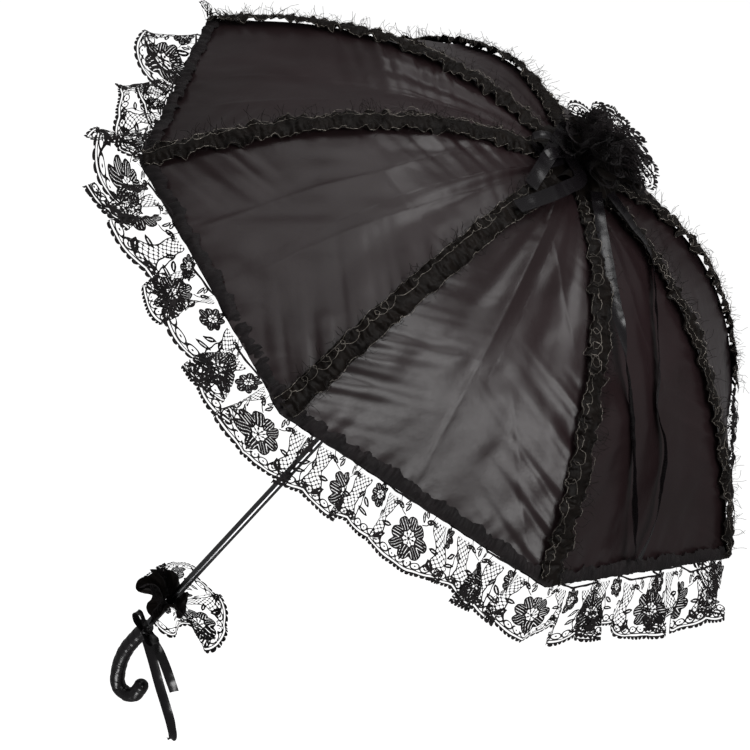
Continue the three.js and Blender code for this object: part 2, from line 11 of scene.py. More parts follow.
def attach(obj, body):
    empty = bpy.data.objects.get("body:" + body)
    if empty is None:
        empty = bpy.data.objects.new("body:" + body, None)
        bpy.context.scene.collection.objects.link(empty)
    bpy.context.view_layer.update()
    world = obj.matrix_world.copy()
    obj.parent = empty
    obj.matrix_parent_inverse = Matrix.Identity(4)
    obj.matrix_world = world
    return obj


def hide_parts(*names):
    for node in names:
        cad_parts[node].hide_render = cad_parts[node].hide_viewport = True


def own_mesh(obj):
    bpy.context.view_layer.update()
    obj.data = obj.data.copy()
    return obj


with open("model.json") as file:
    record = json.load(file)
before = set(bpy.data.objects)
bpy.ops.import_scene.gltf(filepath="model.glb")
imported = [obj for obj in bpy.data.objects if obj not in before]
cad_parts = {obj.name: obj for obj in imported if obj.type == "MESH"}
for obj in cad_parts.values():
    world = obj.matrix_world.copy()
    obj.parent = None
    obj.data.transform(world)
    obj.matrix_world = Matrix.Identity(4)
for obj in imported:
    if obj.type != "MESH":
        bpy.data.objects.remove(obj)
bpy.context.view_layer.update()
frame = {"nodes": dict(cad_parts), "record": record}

# ---------------------------------------------------------------- driving dimensions (metres)
RIBS = 8
PANEL = 2 * math.pi / RIBS
NOTCH_Z = 0.660
HINGE_RADIUS = 0.010
RIB_LENGTH = 0.347
RIB_START_SLOPE = -8.0  # degrees below level at the hinge
RIB_SLOPE_GAIN = 90.0
RIB_SLOPE_EASE = -34.0
CANOPY_LIFT = 0.0034
CANOPY_SAG = 0.005
CANOPY_START = 0.006
GORE_WIDTH = 0.237  # at the rim

LACE_REPEAT = 0.095  # length of the lace's pattern
LACE_WIDTH = 0.049
LARGE_SCALLOP = 0.029  # half its width
LACE_STEP = 0.0005  # fineness of the lace's outline
REPEATS_A_PANEL = 4
FRILL_SLOPE = math.radians(52)
FRILL_TUCK = math.radians(26)  # how much steeper it hangs on one side
FRILL_TUCK_SIDE = math.radians(35)
FLUTES = 3  # a panel
FLUTE_SWING = (0.14, 0.72)  # of the frill's slope, on its calm side and on its lively side (radians)
FLUTE_SIDE = math.radians(-160)
HEADER_WIDTH = 0.012

RUCHE_START = 0.030
RUCHE_END = 0.343
RUCHE_HALF = 0.0095

RIBBON_WIDTH = 0.0095

SHAFT_RADIUS = 0.004
SHAFT_TOP = NOTCH_Z + 0.012
SHAFT_BOTTOM = -0.028
CAP_RADIUS = 0.0235

CUFF_Z = 0.047
CUFF_NECK = SHAFT_RADIUS + 0.0014
HANDLE_RADIUS = 0.0072
HANDLE_STRAIGHT = 0.031
HANDLE_BEND_RADIUS = 0.085
HANDLE_BEND = math.radians(34)
HOOK_RADIUS = 0.0125
HOOK_BEND = math.radians(153)
HOOK_END = 0.009

ROSETTE_NECK = 0.0075
ROSETTE_DRIFT = (0.010, 0.002, 0)  # of its edge, toward the side it leans to
CUFF_DRIFT = (0.014, 0.008, 0.004)


# ---------------------------------------------------------------- materials
def set_inputs(node, values):
    """Values on a node's inputs, each named with _ for a space."""
    for key, value in values.items():
        node.inputs[key.replace("_", " ")].default_value = value


class Nodes:
    """A short way to write a material's nodes."""

    def __init__(self, name):
        self.material = bpy.data.materials.new(name)
        self.material.use_nodes = True
        self.tree = self.material.node_tree
        self.shader = self.tree.nodes["Principled BSDF"]

    def link(self, source, target):
        self.tree.links.new(source, target)

    def set(self, **values):
        set_inputs(self.shader, values)

    def feed(self, **sources):
        """Other nodes' outputs into the shader's inputs."""
        for key, source in sources.items():
            self.link(source, self.shader.inputs[key.replace("_", " ")])

    def add(self, kind, **values):
        node = self.tree.nodes.new(f"ShaderNode{kind}")
        set_inputs(node, values)
        return node

    def coords(self, scale=(1, 1, 1), kind="Object"):
        mapping = self.add("Mapping", Scale=scale)
        self.link(self.add("TexCoord").outputs[kind], mapping.inputs["Vector"])
        return mapping.outputs["Vector"]

    def noise(self, scale, detail=3.0, vector=None):
        node = self.add("TexNoise", Scale=scale, Detail=detail)
        self.link(vector or self.coords(), node.inputs["Vector"])
        return node.outputs["Fac"]

    def ramp(self, factor, low, high, start=0.3, end=0.7):
        node = self.add("ValToRGB")
        first, last = node.color_ramp.elements
        first.position, last.position = start, end
        first.color, last.color = (*low, 1), (*high, 1)
        self.link(factor, node.inputs["Fac"])
        return node.outputs["Color"]

    def spread(self, factor, low, high):
        node = self.add("MapRange", From_Min=0.25, From_Max=0.75, To_Min=low, To_Max=high)
        self.link(factor, node.inputs["Value"])
        return node.outputs["Result"]

    def bump(self, height, strength, distance, below=None):
        node = self.add("Bump", Strength=strength, Distance=distance)
        self.link(height, node.inputs["Height"])
        if below is not None:
            self.link(below, node.inputs["Normal"])
        return node.outputs["Normal"]


def satin_material(name, dark, light, low, high, threads=(1500, 260, 1)):
    """Woven satin: long floats along the weave, a slow change of tone, soft crumples."""
    n = Nodes(name)
    floats = n.noise(1.0, detail=1.0, vector=n.coords(scale=threads, kind="UV"))
    soft = n.bump(n.noise(55.0, detail=4.0), 0.3, 0.0010)
    n.feed(
        Base_Color=n.ramp(n.noise(9.0), dark, light),
        Roughness=n.spread(floats, low, high),
        Normal=n.bump(floats, 0.15, 0.0002, below=soft),
    )
    n.set(Specular_IOR_Level=0.5, Sheen_Weight=0.045, Sheen_Roughness=0.4)
    n.set(Sheen_Tint=(0.8, 0.72, 0.78, 1))
    return n.material


def thread_material(name, dark, light, roughness, metallic=0.0, gloss=0.3):
    """Thread: twisted fibres, a slow change of tone."""
    n = Nodes(name)
    fibre = n.noise(1100.0, detail=2.0)
    n.feed(
        Base_Color=n.ramp(n.noise(60.0, detail=2.0), dark, light),
        Roughness=n.spread(fibre, roughness - 0.1, roughness + 0.1),
        Normal=n.bump(fibre, 0.5, 0.0003),
    )
    n.set(Metallic=metallic, Specular_IOR_Level=gloss, Sheen_Weight=0.04)
    return n.material


def metal_material(name, colour, roughness):
    """Plated metal: fine streaks along it."""
    n = Nodes(name)
    streaks = n.noise(1.0, detail=2.0, vector=n.coords(scale=(900, 900, 12)))
    darker = tuple(0.85 * c for c in colour)
    n.feed(
        Base_Color=n.ramp(n.noise(20.0), darker, colour),
        Roughness=n.spread(streaks, roughness - 0.02, roughness + 0.05),
        Normal=n.bump(streaks, 0.05, 0.0001),
    )
    n.set(Metallic=1.0)
    return n.material


def moulded_material(name, colour, roughness):
    """Lacquer or plastic: a fine grain."""
    n = Nodes(name)
    grain = n.noise(1400.0, detail=2.0)
    darker = tuple(0.7 * c for c in colour)
    n.feed(
        Base_Color=n.ramp(n.noise(40.0), darker, colour),
        Roughness=n.spread(grain, roughness - 0.06, roughness + 0.08),
        Normal=n.bump(grain, 0.2, 0.0002),
    )
    return n.material


SATIN = satin_material("satin", (0.016, 0.0085, 0.0090), (0.026, 0.0145, 0.0160), 0.29, 0.39)
RIBBON = satin_material("ribbon", (0.005, 0.004, 0.005), (0.010, 0.0085, 0.010), 0.20, 0.30)
LACE = thread_material("lace", (0.006, 0.0045, 0.005), (0.014, 0.010, 0.011), 0.72)
ORGANZA = thread_material("organza", (0.0040, 0.0025, 0.0018), (0.0085, 0.0055, 0.0040), 0.50, gloss=0.14)
GLITTER = thread_material("metallic_thread", (0.08, 0.07, 0.06), (0.55, 0.50, 0.44), 0.34, metallic=0.6)
STEEL = metal_material("plated_steel", (0.17, 0.17, 0.175), 0.12)
BLACK_METAL = moulded_material("black_lacquer", (0.014, 0.014, 0.016), 0.35)
BLACK_PLASTIC = moulded_material("black_plastic", (0.012, 0.012, 0.014), 0.45)
CAD_FINISH = {
    "steel": STEEL,
    "black_metal": BLACK_METAL,
    "black_plastic": BLACK_PLASTIC,
    "satin": SATIN,
    "lace": LACE,
    "organza": ORGANZA,
    "ribbon": RIBBON,
    "grip_wrap": RIBBON,
}


# ---------------------------------------------------------------- camera, light, floor
VIEW_AZIMUTH, VIEW_ELEVATION, VIEW_ROLL = -83.8, 31.4, 42.85  # degrees
VIEW_TARGET = Vector((0, 0, 0.465))
VIEW_DISTANCE = 1.7945
VIEW_LEFT, VIEW_DOWN = 0.0436, 0.0425  # how far beside the target the camera aims
LENS = 101.4  # millimetres
LIGHT_CENTRE = Vector((0, 0, 0.55))
LIGHT_DISTANCE = 1.9
WORLD_LIGHT, WORLD_SEEN = 0.16, 0.97  # the backdrop's strength on the object, and as it is seen
FLOOR_Z = -1.1
FLOOR_HALF = 14.0
FLOOR_TONE = (0.9, 0.9, 0.9, 1)
FLOOR_GLOW = 0.85


def placed(name, data):
    """A new object in the scene."""
    obj = bpy.data.objects.new(name, data)
    bpy.context.collection.objects.link(obj)
    return obj


def direction(azimuth, elevation):
    """A unit vector from degrees round +Z and degrees up."""
    a, e = math.radians(azimuth), math.radians(elevation)
    return Vector((math.cos(a) * math.cos(e), math.sin(a) * math.cos(e), math.sin(e)))


def look_camera():
    """The view from above the canopy, rolled so that the shaft slants down to the left."""
    roll = math.radians(VIEW_ROLL)
    back = direction(VIEW_AZIMUTH, VIEW_ELEVATION)
    level_right = Vector((-back.y, back.x, 0)).normalized()
    level_up = back.cross(level_right)
    right = math.cos(roll) * level_right + math.sin(roll) * level_up
    up = -math.sin(roll) * level_right + math.cos(roll) * level_up
    position = VIEW_TARGET + VIEW_DISTANCE * back
    forward = (VIEW_TARGET - VIEW_LEFT * right - VIEW_DOWN * up - position).normalized()
    true_right = forward.cross(up).normalized()
    true_up = true_right.cross(forward)
    data = bpy.data.cameras.new("camera")
    data.sensor_width = 36
    data.lens = LENS
    camera = placed("camera", data)
    turn = Matrix((true_right, true_up, -forward)).transposed().to_4x4()
    camera.matrix_world = Matrix.Translation(position) @ turn
    bpy.context.scene.camera = camera


def area_light(name, azimuth, elevation, size, power):
    """A square softbox turned toward the canopy. Only its light is seen."""
    aim = direction(azimuth, elevation)
    data = bpy.data.lights.new(name, "AREA")
    data.size = size
    data.energy = power
    light = placed(name, data)
    light.location = LIGHT_CENTRE + LIGHT_DISTANCE * aim
    light.rotation_mode = "QUATERNION"
    light.rotation_quaternion = (-aim).to_track_quat("-Z", "Y")
    light.visible_camera = False


def lights():
    area_light("key", -52, 52, 0.8, 10.5)
    area_light("overhead", 215, 82, 0.9, 9)
    area_light("front_left", -151, 50, 1.1, 4)
    area_light("seam_left", 150, 46, 0.55, 2)
    area_light("low_card", -60, -39, 0.7, 14)


def backdrop():
    """A white world that is seen bright, and lights the object only a little."""
    bpy.context.scene.view_settings.view_transform = "Standard"
    world = bpy.data.worlds.new("studio")
    bpy.context.scene.world = world
    world.use_nodes = True
    tree = world.node_tree
    background = tree.nodes["Background"]
    background.inputs["Color"].default_value = (1, 1, 1, 1)
    seen = tree.nodes.new("ShaderNodeLightPath")
    strength = tree.nodes.new("ShaderNodeMapRange")
    strength.inputs["To Min"].default_value = WORLD_LIGHT
    strength.inputs["To Max"].default_value = WORLD_SEEN
    tree.links.new(seen.outputs["Is Camera Ray"], strength.inputs["Value"])
    tree.links.new(strength.outputs["Result"], background.inputs["Strength"])


def pale_floor():
    """A wide plain floor far below the handle, which takes no part in the object's light."""
    mesh = bpy.data.meshes.new("floor")
    square = ((-1, -1), (1, -1), (1, 1), (-1, 1))
    corners = [(x * FLOOR_HALF, y * FLOOR_HALF, FLOOR_Z) for x, y in square]
    mesh.from_pydata(corners, [], [(0, 1, 2, 3)])
    n = Nodes("floor")
    n.set(Base_Color=FLOOR_TONE, Roughness=0.9, Emission_Color=(1, 1, 1, 1), Emission_Strength=FLOOR_GLOW)
    mesh.materials.append(n.material)
    floor = placed("floor", mesh)
    floor.visible_diffuse = False
    floor.visible_glossy = False


look_camera()
lights()
backdrop()
pale_floor()


# ---------------------------------------------------------------- shape helpers
def unit(v):
    return v / np.maximum(np.linalg.norm(v, axis=-1, keepdims=True), 1e-12)


def polar(angle, radius, height):
    x, y, z = np.broadcast_arrays(radius * np.cos(angle), radius * np.sin(angle), height)
    return np.stack([x, y, z], -1)


def smoothstep(x):
    x = np.clip(x, 0, 1)
    return x * x * (3 - 2 * x)


def smooth_noise(seed, scale, *coordinates):
    """Value noise from -1 to 1 at arrays of 1 to 3 coordinates."""
    p = np.stack(np.broadcast_arrays(*coordinates), -1) / scale
    dims = p.shape[-1]
    if dims > 1:
        x, y = p[..., 0].copy(), p[..., 1].copy()
        p[..., 0], p[..., 1] = 0.8 * x - 0.6 * y, 0.6 * x + 0.8 * y
    cell = np.floor(p).astype(np.int64)
    part = p - cell
    part = part**3 * (part * (part * 6 - 15) + 10)
    primes = np.array([73856093, 19349663, 83492791])[:dims]
    total = np.zeros(p.shape[:-1])
    for corner in range(2**dims):
        offset = np.array([(corner >> k) & 1 for k in range(dims)])
        key = ((cell + offset) * primes).sum(-1) ^ (seed * 2654435761)
        key = (key ^ (key >> 13)) * 1274126177 & 0xFFFFFFFF
        value = ((key ^ (key >> 16)) & 0xFFFF) / 32767.5 - 1
        total += value * np.prod(np.where(offset == 1, part, 1 - part), axis=-1)
    return total


def mesh_object(name, vertices, face_sets, material, uv=None):
    """A smooth mesh. face_sets are arrays of faces, each array with one number of corners."""
    vertices = np.asarray(vertices, np.float32).reshape(-1, 3)
    sizes = np.concatenate([np.full(len(f), f.shape[1]) for f in face_sets])
    corners = np.concatenate([f.ravel() for f in face_sets]).astype(np.int32)
    starts = (np.cumsum(sizes) - sizes).astype(np.int32)
    mesh = bpy.data.meshes.new(name)
    mesh.vertices.add(len(vertices))
    mesh.vertices.foreach_set("co", vertices.ravel())
    mesh.loops.add(len(corners))
    mesh.loops.foreach_set("vertex_index", corners)
    mesh.polygons.add(len(sizes))
    mesh.polygons.foreach_set("loop_start", starts)
    mesh.update(calc_edges=True)
    if uv is not None:
        layer = mesh.uv_layers.new(name="uv")
        layer.data.foreach_set("uv", np.asarray(uv, np.float32).reshape(-1, 2)[corners].ravel())
    mesh.shade_smooth()
    mesh.materials.append(material)
    return placed(name, mesh)


def grid_faces(rows, columns, closed=False):
    """Quads of a grid stored row by row. closed joins the last column to the first."""
    i = np.arange(rows - 1)[:, None]
    j = np.arange(columns if closed else columns - 1)[None, :]
    right = (j + 1) % columns
    corners = [i * columns + j, i * columns + right, (i + 1) * columns + right, (i + 1) * columns + j]
    return np.stack(np.broadcast_arrays(*corners), -1).reshape(-1, 4)


def crossed(rows, columns):
    """Two lines of values as the two grids of all their pairs."""
    return np.meshgrid(rows, columns, indexing="ij")


def sheet_object(name, points, uv, material, flipped=False, closed=False):
    """A sheet through a grid of points. closed joins its last column to its first."""
    faces = grid_faces(*points.shape[:2], closed)
    return mesh_object(name, points, [faces[:, ::-1] if flipped else faces], material, uv)


def tangents(path):
    return unit(np.gradient(path, axis=0))


def lengths(path):
    """How far along a path each of its points is."""
    return np.concatenate([[0], np.cumsum(np.linalg.norm(np.diff(path, axis=0), axis=1))])


def round_steps(tangent, side, turn):
    """Unit steps off a path, turned about it from a side square to it."""
    other = np.cross(tangent, side)
    return np.cos(turn)[None, :, None] * side[:, None] + np.sin(turn)[None, :, None] * other[:, None]


def tube(path, radius, sides=4):
    """Vertices and faces of a round tube along points, closed at both ends by a point."""
    tangent = tangents(path)
    side = unit(np.cross(tangent, (0.31, 0.52, 0.79)))
    rings = path[:, None] + radius * round_steps(tangent, side, np.arange(sides) * 2 * np.pi / sides)
    ends = np.stack([path[0] - 0.5 * radius * tangent[0], path[-1] + 0.5 * radius * tangent[-1]])
    last = len(path) * sides
    k = np.arange(sides)
    first_cap = np.stack([np.full(sides, last), (k + 1) % sides, k], -1)
    top = (len(path) - 1) * sides
    last_cap = np.stack([np.full(sides, last + 1), top + k, top + (k + 1) % sides], -1)
    points = np.concatenate([rings.reshape(-1, 3), ends])
    return points, [grid_faces(len(path), sides, closed=True), first_cap, last_cap]


def joined(shapes):
    """Several (vertices, face_sets) as one."""
    vertices, faces, count = [], [], 0
    for points, face_sets in shapes:
        vertices.append(points)
        faces.extend(f + count for f in face_sets)
        count += len(points)
    return np.concatenate(vertices), faces


def curve_through(points, count):
    """Evenly placed points on a smooth curve through given points."""
    p = np.asarray(points, float)
    p = np.concatenate([2 * p[:1] - p[1:2], p, 2 * p[-1:] - p[-2:-1]])
    t = np.linspace(0, 1, 24, endpoint=False)[:, None]
    pieces = []
    for a, b, c, d in zip(p[:-3], p[1:-2], p[2:-1], p[3:]):
        square = 2 * a - 5 * b + 4 * c - d
        cube = 3 * b - a - 3 * c + d
        pieces.append(0.5 * (2 * b + (c - a) * t + square * t**2 + cube * t**3))
    line = np.concatenate([*pieces, p[-2:-1]])
    length = lengths(line)
    even = np.linspace(0, length[-1], count)
    return np.stack([np.interp(even, length, line[:, k]) for k in range(line.shape[1])], -1)


# ---------------------------------------------------------------- the rib's line and the canopy
def rib_line(steps=400):
    """Radius, height and slope along the rib, from the hinge."""
    share = np.linspace(0, 1, steps + 1)
    slope = np.radians(RIB_START_SLOPE + RIB_SLOPE_GAIN * share + RIB_SLOPE_EASE * share**2)
    middle = (slope[1:] + slope[:-1]) / 2
    step = RIB_LENGTH / steps
    radius = HINGE_RADIUS + np.concatenate([[0], np.cumsum(step * np.cos(middle))])
    height = NOTCH_Z - np.concatenate([[0], np.cumsum(step * np.sin(middle))])
    return share * RIB_LENGTH, radius, height, slope


RIB_S, RIB_R, RIB_Z, RIB_SLOPE = rib_line()


def along_rib(distance, lift=0.0):
    """Radius, height and slope at distances along the rib, lifted from its middle line."""
    slope = np.interp(distance, RIB_S, RIB_SLOPE)
    radius = np.interp(distance, RIB_S, RIB_R) + lift * np.sin(slope)
    height = np.interp(distance, RIB_S, RIB_Z) + lift * np.cos(slope)
    return radius, height, slope


def gore_width(distance):
    return 2 * np.interp(distance, RIB_S, RIB_R) * math.sin(PANEL / 2)


def canopy_surface(panel, distance, share):
    """Points and outward normals of the satin. share is 0 at the panel's first rib, 1 at its second."""
    distance, share = np.broadcast_arrays(distance, share)
    radius, height, slope = along_rib(distance, CANOPY_LIFT)
    w = share[..., None]

    def between_ribs(out, up):
        return polar(panel * PANEL, out, up) * (1 - w) + polar((panel + 1) * PANEL, out, up) * w

    normal = unit(between_ribs(np.sin(slope), np.cos(slope)))
    sag = CANOPY_SAG * 4 * w * (1 - w) * np.sin(np.pi * distance / RIB_LENGTH)[..., None]
    return between_ribs(radius, height) - sag * normal, normal


def half_shares(steps):
    """Shares across the two half gores beside a rib: up to it, then on from it."""
    return np.linspace(0.5, 1, steps + 1)[:-1], np.linspace(0, 0.5, steps + 1)


def tangential(rib):
    return (-math.sin(rib * PANEL), math.cos(rib * PANEL), 0.0)


def on_rib(obj, rib, *nodes, slot, folds=True):
    """The piece moves with a rib."""
    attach(obj, f"rib_{rib}")
    if folds:
        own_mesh(obj)
    if nodes:
        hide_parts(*nodes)


def on_shaft(obj, *nodes, slot):
    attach(obj, "shaft_and_handle")
    if nodes:
        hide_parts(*nodes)


# ---------------------------------------------------------------- satin canopy
PUCKER_REACH = 0.042
# Straight creases from the canopy's packing: panel, start and end as (distance, share), height.
CREASES = [
    (5, (0.05, 0.80), (0.17, 0.61), 0.00050),
    (5, (0.17, 0.61), (0.31, 0.55), 0.00040),
    (5, (0.10, 0.22), (0.18, 0.33), 0.00050),
    (5, (0.18, 0.33), (0.34, 0.30), 0.00045),
    (5, (0.185, 0.15), (0.167, 0.97), 0.00035),
    (6, (0.04, 0.28), (0.16, 0.41), 0.00060),
    (6, (0.16, 0.41), (0.34, 0.47), 0.00050),
    (6, (0.20, 0.03), (0.17, 0.40), 0.00040),
    (6, (0.10, 0.52), (0.17, 0.84), 0.00060),
    (6, (0.24, 0.64), (0.34, 0.92), 0.00045),
    (7, (0.09, 0.33), (0.20, 0.62), 0.00040),
    (4, (0.06, 0.55), (0.30, 0.45), 0.00045),
    (4, (0.10, 0.75), (0.30, 0.68), 0.00040),
    (0, (0.06, 0.40), (0.32, 0.52), 0.00045),
    (1, (0.08, 0.60), (0.33, 0.44), 0.00045),
    (2, (0.17, 0.05), (0.19, 0.95), 0.00040),
    (3, (0.05, 0.35), (0.33, 0.60), 0.00045),
]


def crease(distance, across, start, end, height):
    """A soft ridge along a line on the gore, with a sharper side."""
    line = end - start
    length = np.hypot(*line)
    along = ((distance - start[0]) * line[0] + (across - start[1]) * line[1]) / length
    off = ((distance - start[0]) * line[1] - (across - start[1]) * line[0]) / length
    fade = smoothstep(along / 0.03 + 0.5) * smoothstep((length - along) / 0.03 + 0.5)
    return height * fade * np.exp(-np.abs(off) / np.where(off > 0, 0.0014, 0.0050))


def canopy_relief(gore, distance, share):
    """How far the satin stands off its smooth surface: puckers at the seams, folds and creases."""
    width = gore_width(distance)
    edge = np.minimum(share, 1 - share) * width
    side = np.where(share > 0.5, 1.0, 0.0)
    drift = distance + 0.45 * edge
    place = edge * 0.07 + side * 0.7 + gore * 1.3
    pucker = smooth_noise(11, 0.0075, drift, place) + 0.9 * smooth_noise(12, 0.015, drift, place)
    tension = smoothstep(0.55 + 0.9 * smooth_noise(13, 0.06, distance, side + gore))
    relief = 0.0013 * tension * pucker * np.exp(-((edge / PUCKER_REACH) ** 1.5)) * smoothstep(edge / 0.008)
    inner = smoothstep(edge / 0.035)
    fan = smooth_noise(14, 1.0, share * 7 + gore * 3.1, distance * 3.5 + gore)
    relief = relief + 0.0026 * fan * inner * np.clip(1.4 - distance / 0.30, 0.3, 1)
    x, y = distance + 0.4 * share * width, share * width - 0.2 * distance
    relief = relief + 0.0034 * smooth_noise(15, 0.085, x, y, gore * 0.9) * inner
    relief = relief + 0.0008 * smooth_noise(16, 0.028, x, 1.6 * y, gore * 0.9) * inner
    hem = np.clip((distance - (RIB_LENGTH - 0.03)) / 0.03, 0, 1)
    relief = relief + 0.0010 * hem * smooth_noise(17, 0.008, share * width + gore * 0.7, distance * 0.2)
    for panel, start, end, height in CREASES:
        if panel == gore:
            ends = [np.array([d, w * gore_width(d)]) for d, w in (start, end)]
            relief = relief + crease(distance, share * width, *ends, height)
    return relief


def canopy_half(gore, share, distance):
    """Half a gore's points and flat coordinates, in rows down from the apex."""
    d, w = crossed(distance, share)
    at, normal = canopy_surface(gore, d, w)
    uv = np.stack([w * gore_width(d), d], -1)
    return at + canopy_relief(gore, d, w)[..., None] * normal, uv


def make_canopy():
    """One sheet a rib, from the middle of one gore over the seam to the middle of the next."""
    rows, steps = 190, 64
    distance = np.linspace(CANOPY_START, RIB_LENGTH, rows)
    before, after = half_shares(steps)
    for rib in range(RIBS):
        last = (rib - 1) % RIBS
        left, left_uv = canopy_half(last, before, distance)
        right, right_uv = canopy_half(rib, after, distance)
        points = np.concatenate([left, right], 1)
        uv = np.concatenate([left_uv, right_uv], 1)
        obj = sheet_object(f"canopy_{rib}", points, uv, SATIN)
        on_rib(obj, rib, f"gore_{rib}", f"gore_{last}", slot="satin")


make_canopy()


# ---------------------------------------------------------------- the lace's pattern
def repeated(u, pitch):
    """A coordinate that starts again every pitch, from the middle of each."""
    return (u + pitch / 2) % pitch - pitch / 2


# A field is positive in thread and negative in holes, and about a distance in metres.
def line_field(offset, thread):
    return thread / 2 - np.abs(offset)


def flower_field(u, v, reach, stripe):
    """Eight rounded, striped petals round an open, dotted middle."""
    count, thread = 8, 0.0008
    radius = np.hypot(u, v)
    turn = 2 * np.pi / count
    local = repeated(np.arctan2(v, u), turn)
    along = radius * np.cos(local) - 0.66 * reach
    aside = radius * np.sin(local)
    a, b = 0.35 * reach, 0.305 * reach
    oval = (np.sqrt((along / a) ** 2 + (aside / b) ** 2) - 1) * b
    bars = np.abs((aside / stripe + 0.5) % 1 - 0.5) * stripe
    petals = np.maximum(line_field(oval + thread / 2, thread), np.minimum(0.39 * stripe - bars, -oval))
    dots = 0.05 * reach - np.hypot(along + 0.44 * reach, aside)
    middle = np.maximum(0.07 * reach - radius, dots)
    spokes = np.minimum(line_field(aside, 0.0005), 0.40 * reach - radius)
    return np.maximum(petals, np.maximum(middle, spokes))


def leaf_field(u, v, at, angle, length, width):
    """A filled leaf with an open vein."""
    c, s = math.cos(angle), math.sin(angle)
    x = (u - at[0]) * c + (v - at[1]) * s - length / 2
    y = (v - at[1]) * c - (u - at[0]) * s
    lens = width / 2 * (1 - (2 * x / length) ** 2) - np.abs(y)
    vein = np.maximum(np.abs(y) - 0.0003, np.abs(x) - 0.25 * length)
    return np.minimum(lens, vein)


def stem_field(u, v, start, end, rise, thread):
    """A curved stem from start to end, bowed sideways by rise."""
    start, end = np.array(start), np.array(end)
    length = np.hypot(*(end - start))
    c, s = (end - start) / length
    x = ((u - start[0]) * c + (v - start[1]) * s) / length
    y = (v - start[1]) * c - (u - start[0]) * s
    bow = 4 * rise * x * (1 - x)
    beyond = np.maximum(np.maximum(-x, x - 1), 0) * length
    return thread / 2 - np.hypot(y - bow, beyond)


def scalloped_edge(u):
    """Where the lace ends: a broad scallop under the large flower, a small one between."""
    from_large = repeated(u, LACE_REPEAT)
    from_small = u % LACE_REPEAT - LACE_REPEAT / 2
    large = 0.0462 - 0.0060 * (1 - np.cos(np.pi / 2 * from_large / LARGE_SCALLOP))
    small = 0.0435 - 0.0033 * (1 - np.cos(np.pi / 2 * from_small / (LACE_REPEAT / 2 - LARGE_SCALLOP)))
    return np.where(np.abs(from_large) < LARGE_SCALLOP, large, small)


def border_field(u, v):
    """The edge: a beaded line, a fine line inside it, and a chain of ovals with a dot in each."""
    inward = scalloped_edge(u) - v
    beads = 0.0013 - np.hypot(repeated(u, LACE_REPEAT / 30), inward)
    lines = np.maximum(line_field(inward - 0.0010, 0.0009), line_field(inward - 0.0030, 0.0007))
    x = repeated(u, LACE_REPEAT / 15)
    y = inward - 0.0060
    ring = (np.hypot(x / 0.0028, y / 0.0023) - 1) * 0.0023
    ovals = np.maximum(line_field(ring, 0.0008), 0.0006 - np.hypot(x, y))
    return np.maximum(np.maximum(beads, lines), ovals)


def net_field(u, v, pitch, thread):
    """A diamond net with a dot on each crossing."""
    a, b = (u + v) / pitch, (u - v) / pitch
    near_a = np.abs(a - np.round(a)) * pitch / math.sqrt(2)
    near_b = np.abs(b - np.round(b)) * pitch / math.sqrt(2)
    return np.maximum(thread / 2 - np.minimum(near_a, near_b), 1.5 * thread - np.hypot(near_a, near_b))


def patch_field(x, v):
    """A waisted patch of dotted net beside the large flower."""
    waist = 0.0036 + 0.0035 * np.abs((v - 0.021) / 0.013)
    inside = np.minimum(waist - np.abs(x - 0.0262 + 0.10 * (v - 0.021)), 0.017 - np.abs(v - 0.021))
    net = np.minimum(net_field(x, v, 0.0036, 0.0004), inside)
    return np.maximum(net, np.minimum(line_field(inside, 0.0008), 0.016 - np.abs(v - 0.021)))


def sprig_field(x, v):
    """Stems and leaves between the large flower, the header and the small flower."""
    field = stem_field(x, v, (0.009, 0.012), (0.020, 0.001), 0.0022, 0.0008)
    leaves = (
        ((0.0095, 0.0105), -1.7, 0.0085, 0.0036),
        ((0.0125, 0.0085), -0.3, 0.0085, 0.0038),
        ((0.0135, 0.0060), -2.2, 0.0060, 0.0028),
        ((0.0180, 0.0060), 0.3, 0.0070, 0.0030),
        ((0.0330, 0.0135), 1.9, 0.0085, 0.0034),
        ((0.0345, 0.0180), 0.7, 0.0085, 0.0034),
        ((0.0330, 0.0260), 0.4, 0.0090, 0.0036),
        ((0.0325, 0.0320), 2.4, 0.0080, 0.0032),
        ((0.0170, 0.0300), 0.9, 0.0095, 0.0042),
        ((0.0160, 0.0230), 0.1, 0.0080, 0.0034),
    )
    for leaf in leaves:
        field = np.maximum(field, leaf_field(x, v, *leaf))
    return np.maximum(field, stem_field(x, v, (0.0325, 0.0130), (0.0330, 0.0365), -0.0016, 0.0008))


def lace_field(u, v):
    """One repeat of the lace. v is 0 at the gathered edge and about LACE_WIDTH at the scallops."""
    wave = 2 * np.pi * u / LACE_REPEAT
    u = u + 0.0004 * np.sin(3 * wave + 300 * v) + 0.0003 * np.sin(7 * wave - 700 * v)
    v = v + 0.0003 * np.sin(5 * wave + 2) * np.sin(450 * v)
    x = repeated(u, LACE_REPEAT)
    side = np.abs(x)
    field = np.maximum(line_field(v - 0.0010, 0.0016), border_field(u, v))
    field = np.maximum(field, np.maximum(patch_field(side, v), sprig_field(side, v)))
    large = flower_field(x, v - 0.0245, 0.0150, 0.0019)
    field = np.where(np.hypot(x, v - 0.0245) < 0.0150, np.maximum(large, -0.0006), field)
    return np.maximum(field, flower_field(side - LACE_REPEAT / 2, v - 0.0105, 0.0090, 0.0016))


def lace_repeat():
    """The pattern of one repeat on a grid, and the grid's step each way."""
    columns = round(LACE_REPEAT / LACE_STEP)
    rows = round(LACE_WIDTH / LACE_STEP) + 1
    u = np.arange(columns) * LACE_REPEAT / columns
    v = np.linspace(-0.0003, LACE_WIDTH - 0.0003, rows)
    field = lace_field(*np.meshgrid(u, v))
    field[0] = field[-1] = -0.0005
    return np.clip(field, -LACE_STEP, LACE_STEP), v


